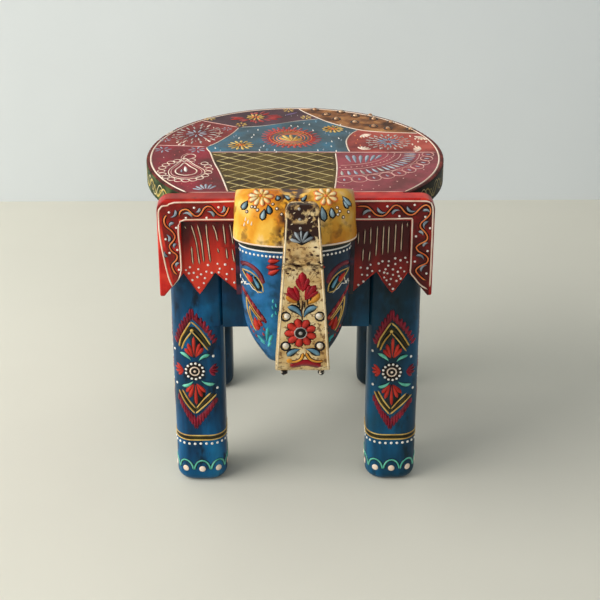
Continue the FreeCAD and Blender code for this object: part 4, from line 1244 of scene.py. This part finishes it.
def red_flower(trunk, u, v):
    trunk.flower(u, v, 2.4, 14.6, 9, 8.0, BLACK, math.pi / 8, lift=0.3)
    trunk.flower(u, v, 2.6, 14.4, 9, 6.8, RED, math.pi / 8, lift=0.8)
    trunk.dot(u, v, 5.6, BLACK, 1.1)
    trunk.loop(arc(u, v, 5.2, 5.2, 0, 330, 11), 1.3, PALE_GREY, 1.3, 1.6)
    trunk.dot(u, v, 2.2, PALE_GREY, 1.7)


# Wood under the paint

def seat_wood():
    """Brownish maroon round the top's edge, dark green with a yellow vine on the wall, and painted shade that
    darkens the wall and its vine towards the right.
    """
    finish = Finish("seat_wood", 0.5, gloss=0.1)
    cloud = finish.noise(60, 4)
    # Painted shade: the wall and its vine darken towards the right, away from the light
    shade = finish.x.rise(0.02, 0.10)
    wall = finish.ramp(cloud, (0.35, 22, 32, 16), (0.5, 44, 60, 30), (0.68, 88, 106, 58))
    wall = finish.mix(shade * 0.92, wall, (14, 10, 8))
    turn = finish.math("ARCTAN2", finish.y - seat_middle, finish.x)
    for waves, shift, height, size, width, tint in (
        (31, 0.0, 293.5, 5.5, 0.8, (206, 176, 92)),
        (62, 1.2, 293.0, 3.4, 0.6, (168, 150, 84)),
        (31, 1.6, 294.0, 6.6, 0.55, (222, 204, 150)),
    ):
        vine = finish.math("SINE", turn * waves + shift) * (size * MM) + height * MM
        stem = abs(finish.z - vine).rise(width * 1.3 * MM, width * 0.7 * MM)
        wall = finish.mix(stem, wall, tint)
    # Painted shade laid again over the vine at the right
    wall = finish.mix(shade * 0.6, wall, (16, 16, 10))
    rim = finish.ramp(cloud, (0.35, 56, 26, 22), (0.5, 98, 36, 32), (0.68, 132, 56, 46))
    on_top = finish.z.rise(seat_height - 1.1 * MM, seat_height - 0.6 * MM)
    return finish.show(finish.mix(on_top, wall, rim), finish.noise(500, 3), 0.2)


# The cloth's recess and the lines of its band, at the sides and back, and how much higher in front
RECESS_TOP, FRONT_RECESS_RISE = 0.2613, 0.0220
BAND_LOW, FRONT_LOW_RISE = 0.2626, 0.0224
BAND_HIGH, FRONT_HIGH_RISE = 0.2800, 0.0218
# The upright strip at each end of the front, between its two lines; the left one's outer line leans in
STRIP_INNER, STRIP_OUTER, STRIP_TOP = 0.1048, 0.1228, 0.3018
LEAN_TOP, LEAN = 0.288, 0.15


def cloth_wood():
    """Red wood, mottled dark in the band between the lines and streaked in the fringe's recess, with painted
    light on the band at the left and painted shade in the recess under the band and on the front at the
    right.
    """
    finish = Finish("cloth_wood", 0.36)
    x, z, across = finish.x, finish.z, abs(finish.x)
    tint = finish.ramp(finish.noise(45, 5), (0.3, 150, 18, 14), (0.5, 204, 36, 26), (0.7, 230, 72, 48))
    wear = finish.noise(160, 4, shift=0.2).rise(0.66, 0.76)
    tint = finish.mix(wear * 0.6, tint, (58, 20, 16))

    front_depth = finish.y - cloth_front
    depth = lesser(lesser(front_depth, cloth_side - across), cloth_back - finish.y)
    recess_top = front_depth.rise(0.008, 0.007) * FRONT_RECESS_RISE + RECESS_TOP
    inner = depth.rise(0.0012, 0.0022) * z.rise(recess_top + 0.0006, recess_top)

    in_front = front_depth.rise(0.0012, 0.0008)
    low = in_front * FRONT_LOW_RISE + BAND_LOW
    high = in_front * FRONT_HIGH_RISE + BAND_HIGH
    band = z.rise(low, low + 0.0008) * z.rise(high, high - 0.0008)
    outer = STRIP_OUTER - greater(LEAN_TOP - z, 0.0) * LEAN * x.rise(0.0, -0.001)
    strip = across.rise(STRIP_INNER, STRIP_INNER + 0.0008) * across.rise(outer, outer - 0.001)
    strip = strip * in_front * z.rise(STRIP_TOP, STRIP_TOP - 0.0018)
    band = greater(band, strip) * (1.0 - inner)
    cloud = finish.noise(58, 4, shift=0.6)
    mottle = finish.ramp(cloud, (0.38, 34, 6, 8), (0.5, 84, 12, 14), (0.64, 176, 34, 24))
    # Painted light: the band's mottle is lighter red at the left, where the light falls
    mottle = finish.mix(x.rise(0.01, -0.01) * 0.3, mottle, (190, 44, 30))
    tint = finish.mix(band, tint, mottle)

    streak = finish.noise(120, 3, (1, 1, 0.08), shift=0.2)
    # Painted shade in the fringe's recess: darker towards its top under the band, and darker at the right in
    # the head's shadow
    value = z.rise(0.282, 0.236) * 0.5 + 0.34 + (streak - 0.5) * 0.7 - x.rise(-0.01, 0.01) * 0.32
    fringe = finish.ramp(value, (0.2, 36, 8, 10), (0.42, 98, 16, 16), (0.66, 196, 44, 30), (0.9, 222, 64, 42))
    tint = finish.mix(inner, tint, fringe)
    # Painted shadow of the head: the cloth's front is darker at the right, below its top face
    right_front = x.rise(0.0, 0.06) * z.rise(0.3036, 0.3026)
    tint = finish.mix(right_front * 0.5, tint, (90, 6, 10))
    left_top = z.rise(0.3038, 0.3044) * x.rise(0.02, -0.02)
    tint = finish.mix(left_top * 0.45, tint, (112, 36, 22))
    return finish.show(tint, finish.noise(420, 3), 0.22)


def blue_tints(finish):
    """Streaky blue with some teal, rubbed dark in spots."""
    streak = finish.noise(34, 5, (1, 1, 0.22))
    tint = finish.ramp(streak, (0.32, 2, 28, 48), (0.46, 0, 58, 94), (0.58, 0, 92, 140), (0.76, 36, 132, 178))
    teal = finish.noise(22, 3, shift=0.5).rise(0.5, 0.66)
    tint = finish.mix(teal * 0.5, tint, (6, 58, 74))
    rubbed = finish.noise(110, 5, (1, 1, 0.4), shift=0.9).rise(0.56, 0.68)
    return finish.mix(rubbed * 0.8, tint, (6, 16, 26))


def body_wood():
    """Blue, with painted shade high up under the cloth and towards the back, and darker at the right."""
    finish = Finish("body_wood", 0.34, gloss=0.2)
    # Painted shade: darker high up under the cloth and towards the back
    painted_shade = finish.z.rise(0.150, 0.225) * finish.noise(45, 5).rise(0.40, 0.54)
    painted_shade = greater(painted_shade, finish.y.rise(-0.03, 0.06))
    tint = finish.mix(finish.x.rise(0.0, 0.05) * 0.4, blue_tints(finish), (14, 56, 60))
    tint = finish.mix(painted_shade * 0.66, tint, (2, 14, 20))
    return finish.show(tint, finish.noise(300, 4, (1, 1, 0.3)), 0.25)


def ear_wood():
    """Clouds of dark blue, plum and slate, with painted shade that darkens them at the right."""
    finish = Finish("ear_wood", 0.34, gloss=0.25)
    cloud = finish.noise(60, 4, shift=0.4)
    tint = finish.ramp(cloud, (0.36, 10, 20, 30), (0.5, 30, 20, 40), (0.62, 98, 38, 62), (0.74, 20, 60, 92))
    # Painted shade on the right ear, the side away from the light
    tint = finish.mix(finish.x.rise(0.0, 0.03) * 0.5, tint, (14, 12, 20))
    return finish.show(tint, finish.noise(300, 4), 0.25)


def head_wood():
    """Ochre on the cap, dark brown in patches beside the trunk, between its lobes and here and there, and
    darker at the right with painted shade; blue on the face, lighter at the left with painted light and deep
    navy at the right with painted shade.
    """
    finish = Finish("head_wood", 0.32, gloss=0.3)
    x, z = finish.x, finish.z
    cloud = finish.noise(40, 5, (1, 1, 0.6), shift=0.1)
    ochre = finish.ramp(cloud, (0.34, 214, 120, 14), (0.46, 232, 158, 34), (0.56, 246, 192, 74),
                        (0.68, 250, 224, 176))
    # Dark brown in patches beside the trunk and in the valley between the lobes
    beside = abs(x - 0.0055).rise(0.028, 0.019) * z.rise(0.303, 0.295)
    valley = abs(x + 0.003).rise(0.017, 0.008) * z.rise(0.297, 0.303)
    spots = finish.noise(110, 5, shift=0.7).rise(0.58, 0.48)
    loose = finish.noise(80, 5, shift=1.7).rise(0.58, 0.68)
    dark = greater(greater(beside, valley) * spots, loose * 0.6)
    ochre = finish.mix(dark, ochre, (66, 32, 14))
    # Painted shade: the cap darkens towards the right, away from the light
    ochre = finish.mix(x.rise(0.008, 0.05) * 0.45, ochre, (112, 62, 12))

    # Painted light: the face is lighter blue at the left, where the light falls
    left = x.rise(-0.008, -0.022) * finish.noise(90, 5).rise(0.4, 0.6)
    blue = finish.mix(left * 0.55, blue_tints(finish), (44, 124, 188))
    # Painted shade: the face darkens to deep navy at the right, away from the light
    blue = finish.mix(x.rise(0.004, 0.014) * 0.84, blue, (8, 22, 34))
    on_cap = z.rise(cap_height - 0.2 * MM, cap_height + 0.2 * MM)
    under_rim = abs(z - (cap_height - 1.2 * MM)).rise(2.8 * MM, 2.3 * MM)
    tint = finish.mix(under_rim, finish.mix(on_cap, blue, ochre), (18, 26, 20))
    return finish.show(tint, finish.noise(300, 4), 0.25)


def trunk_wood():
    """Ivory with brown crackle, darker at the tip, and with painted shade round the crease."""
    finish = Finish("trunk_wood", 0.42, gloss=0.2)
    z = finish.z
    cloud = finish.noise(70, 5)
    ivory = finish.ramp(cloud, (0.34, 184, 146, 88), (0.5, 218, 188, 132), (0.68, 236, 216, 170))
    specks = finish.noise(330, 3, shift=0.4).rise(0.56, 0.62)
    ivory = finish.mix(specks * 0.8, ivory, (104, 66, 34))
    lines = finish.cracks(120, 0.05) * finish.noise(50, 2).rise(0.5, 0.6)
    ivory = finish.mix(lines * 0.6, ivory, (112, 72, 40))
    tip = z.rise(0.294, 0.300) * finish.noise(150, 5, shift=1.1).rise(0.42, 0.52)
    patch = abs(z - 0.3022).rise(0.0088, 0.0062) * finish.noise(200, 4, shift=3.1).rise(0.36, 0.46)
    # Painted shade in and round the crease across the front
    crease = abs(z - 0.2758).rise(0.0110, 0.0018) * finish.noise(150, 4, (1, 1, 2), shift=2.0).rise(0.42, 0.6)
    ivory = finish.mix(greater(greater(tip, patch), crease), ivory, (48, 26, 16))
    return finish.show(ivory, finish.noise(400, 3), 0.25)


def worn_tint(finish, bright, dull):
    return finish.mix(finish.noise(300, 4).rise(0.4, 0.62), bright, dull)


def metal_finish(name, bright, dull, metallic):
    finish = Finish(name, 0.35, metallic=metallic)
    return finish.show(worn_tint(finish, bright, dull), finish.noise(900, 2), 0.15)


def enamel_finish():
    """Cream enamel, worn through to black on the trunk's two low beads."""
    finish = Finish("cream_stud", 0.3)
    tint = worn_tint(finish, (240, 234, 218), (200, 186, 162))
    black = finish.z.rise(0.176, 0.174) * finish.noise(420, 2).rise(0.62, 0.54)
    return finish.show(finish.mix(black, tint, (24, 20, 20)), finish.noise(900, 2), 0.15)


def bare_wood():
    """Unpainted wood for the pegs, dowels and battens."""
    finish = Finish("bare_mango_wood", 0.62)
    rings = finish.noise(26, 4, (1, 0.12, 1))
    tint = finish.ramp(rings, (0.35, 122, 84, 50), (0.5, 168, 122, 78), (0.65, 190, 148, 100))
    pores = finish.noise(420, 2, (1, 0.1, 1)).rise(0.6, 0.72)
    return finish.show(finish.mix(pores * 0.5, tint, (90, 58, 34)), pores, 0.3)


def dress_nodes():
    """Gives every CAD node its finish: its own, or else the first whose word is in its name."""
    own = {
        "seat_top": seat_wood(),
        "trunk": trunk_wood(),
        "head_block": head_wood(),
        "top_studs": metal_finish("copper_stud", (226, 190, 150), (168, 112, 74), 0.4),
        "trunk_studs": enamel_finish(),
    }
    steel = metal_finish("zinc_steel", (190, 190, 186), (130, 130, 128), 1.0)
    bare, red = bare_wood(), cloth_wood()
    shared = {"screws": steel, "dowels": bare, "pegs": bare, "batten": bare, "flap": red, "valance": red,
              "ear": ear_wood(), "": body_wood()}
    for name, node in nodes.items():
        finish = own.get(name) or next(shared[word] for word in shared if word in name)
        node.data.materials.clear()
        node.data.materials.append(finish)


# The room

WALL_Y = 0.66


def room():
    """A pale floor and a pale wall behind it."""
    for name, corners, tint in (
        ("floor", ((-4, -3.5, 0), (4, -3.5, 0), (4, WALL_Y, 0), (-4, WALL_Y, 0)), (222, 219, 204)),
        ("wall", ((-4, WALL_Y, 0), (4, WALL_Y, 0), (4, WALL_Y, 3.5), (-4, WALL_Y, 3.5)), (224, 229, 228)),
    ):
        finish = Finish(name + "_finish", 0.55)
        dark = tuple(channel * 0.96 for channel in tint)
        shape = bmesh.new()
        shape.faces.new([shape.verts.new(corner) for corner in corners])
        material = finish.show(finish.mix(finish.noise(1.6, 4).rise(0.3, 0.7), dark, tint))
        piece = add_mesh(name, shape, [material])


def lamp(name, place, target, size, power, tint=(1, 1, 1)):
    data = bpy.data.lights.new(name, "AREA")
    data.shape = "SQUARE"
    data.size = size
    data.energy = power
    data.color = tint
    piece = add(name, data)
    piece.location = place
    piece.rotation_euler = (Vector(target) - Vector(place)).to_track_quat("-Z", "Y").to_euler()


def lights():
    lamp("window_light", (-2.1, -0.75, 1.5), (0, 0, 0.15), 2.1, 70, (1, 0.985, 0.96))
    lamp("front_light", (0.3, -2.6, 1.6), (0, 0, 0.15), 1.8, 5)
    world = bpy.data.worlds.new("soft_room")
    world.use_nodes = True
    background = world.node_tree.nodes["Background"]
    background.inputs["Color"].default_value = (0.92, 0.95, 1, 1)
    background.inputs["Strength"].default_value = 0.43
    bpy.context.scene.world = world


def camera():
    data = bpy.data.cameras.new("photo_camera")
    data.lens = 87.27
    data.sensor_width = 36
    data.clip_start = 0.02
    piece = add("photo_camera", data)
    piece.location = (-0.00664, -1.29362, 0.79240)
    way = Vector((0.00773, 0.89886, -0.43819))
    piece.rotation_euler = way.to_track_quat("-Z", "Y").to_euler()
    bpy.context.scene.camera = piece


camera()
lights()
room()
dress_nodes()
seat_fields()
seat_lines()
seat_motifs()
front_cloths()
other_cloths()
legs()
head_bands()
cap_ornament()
face_ornament()
trunk_ornament()

bpy.context.scene.view_settings.view_transform = "Standard"
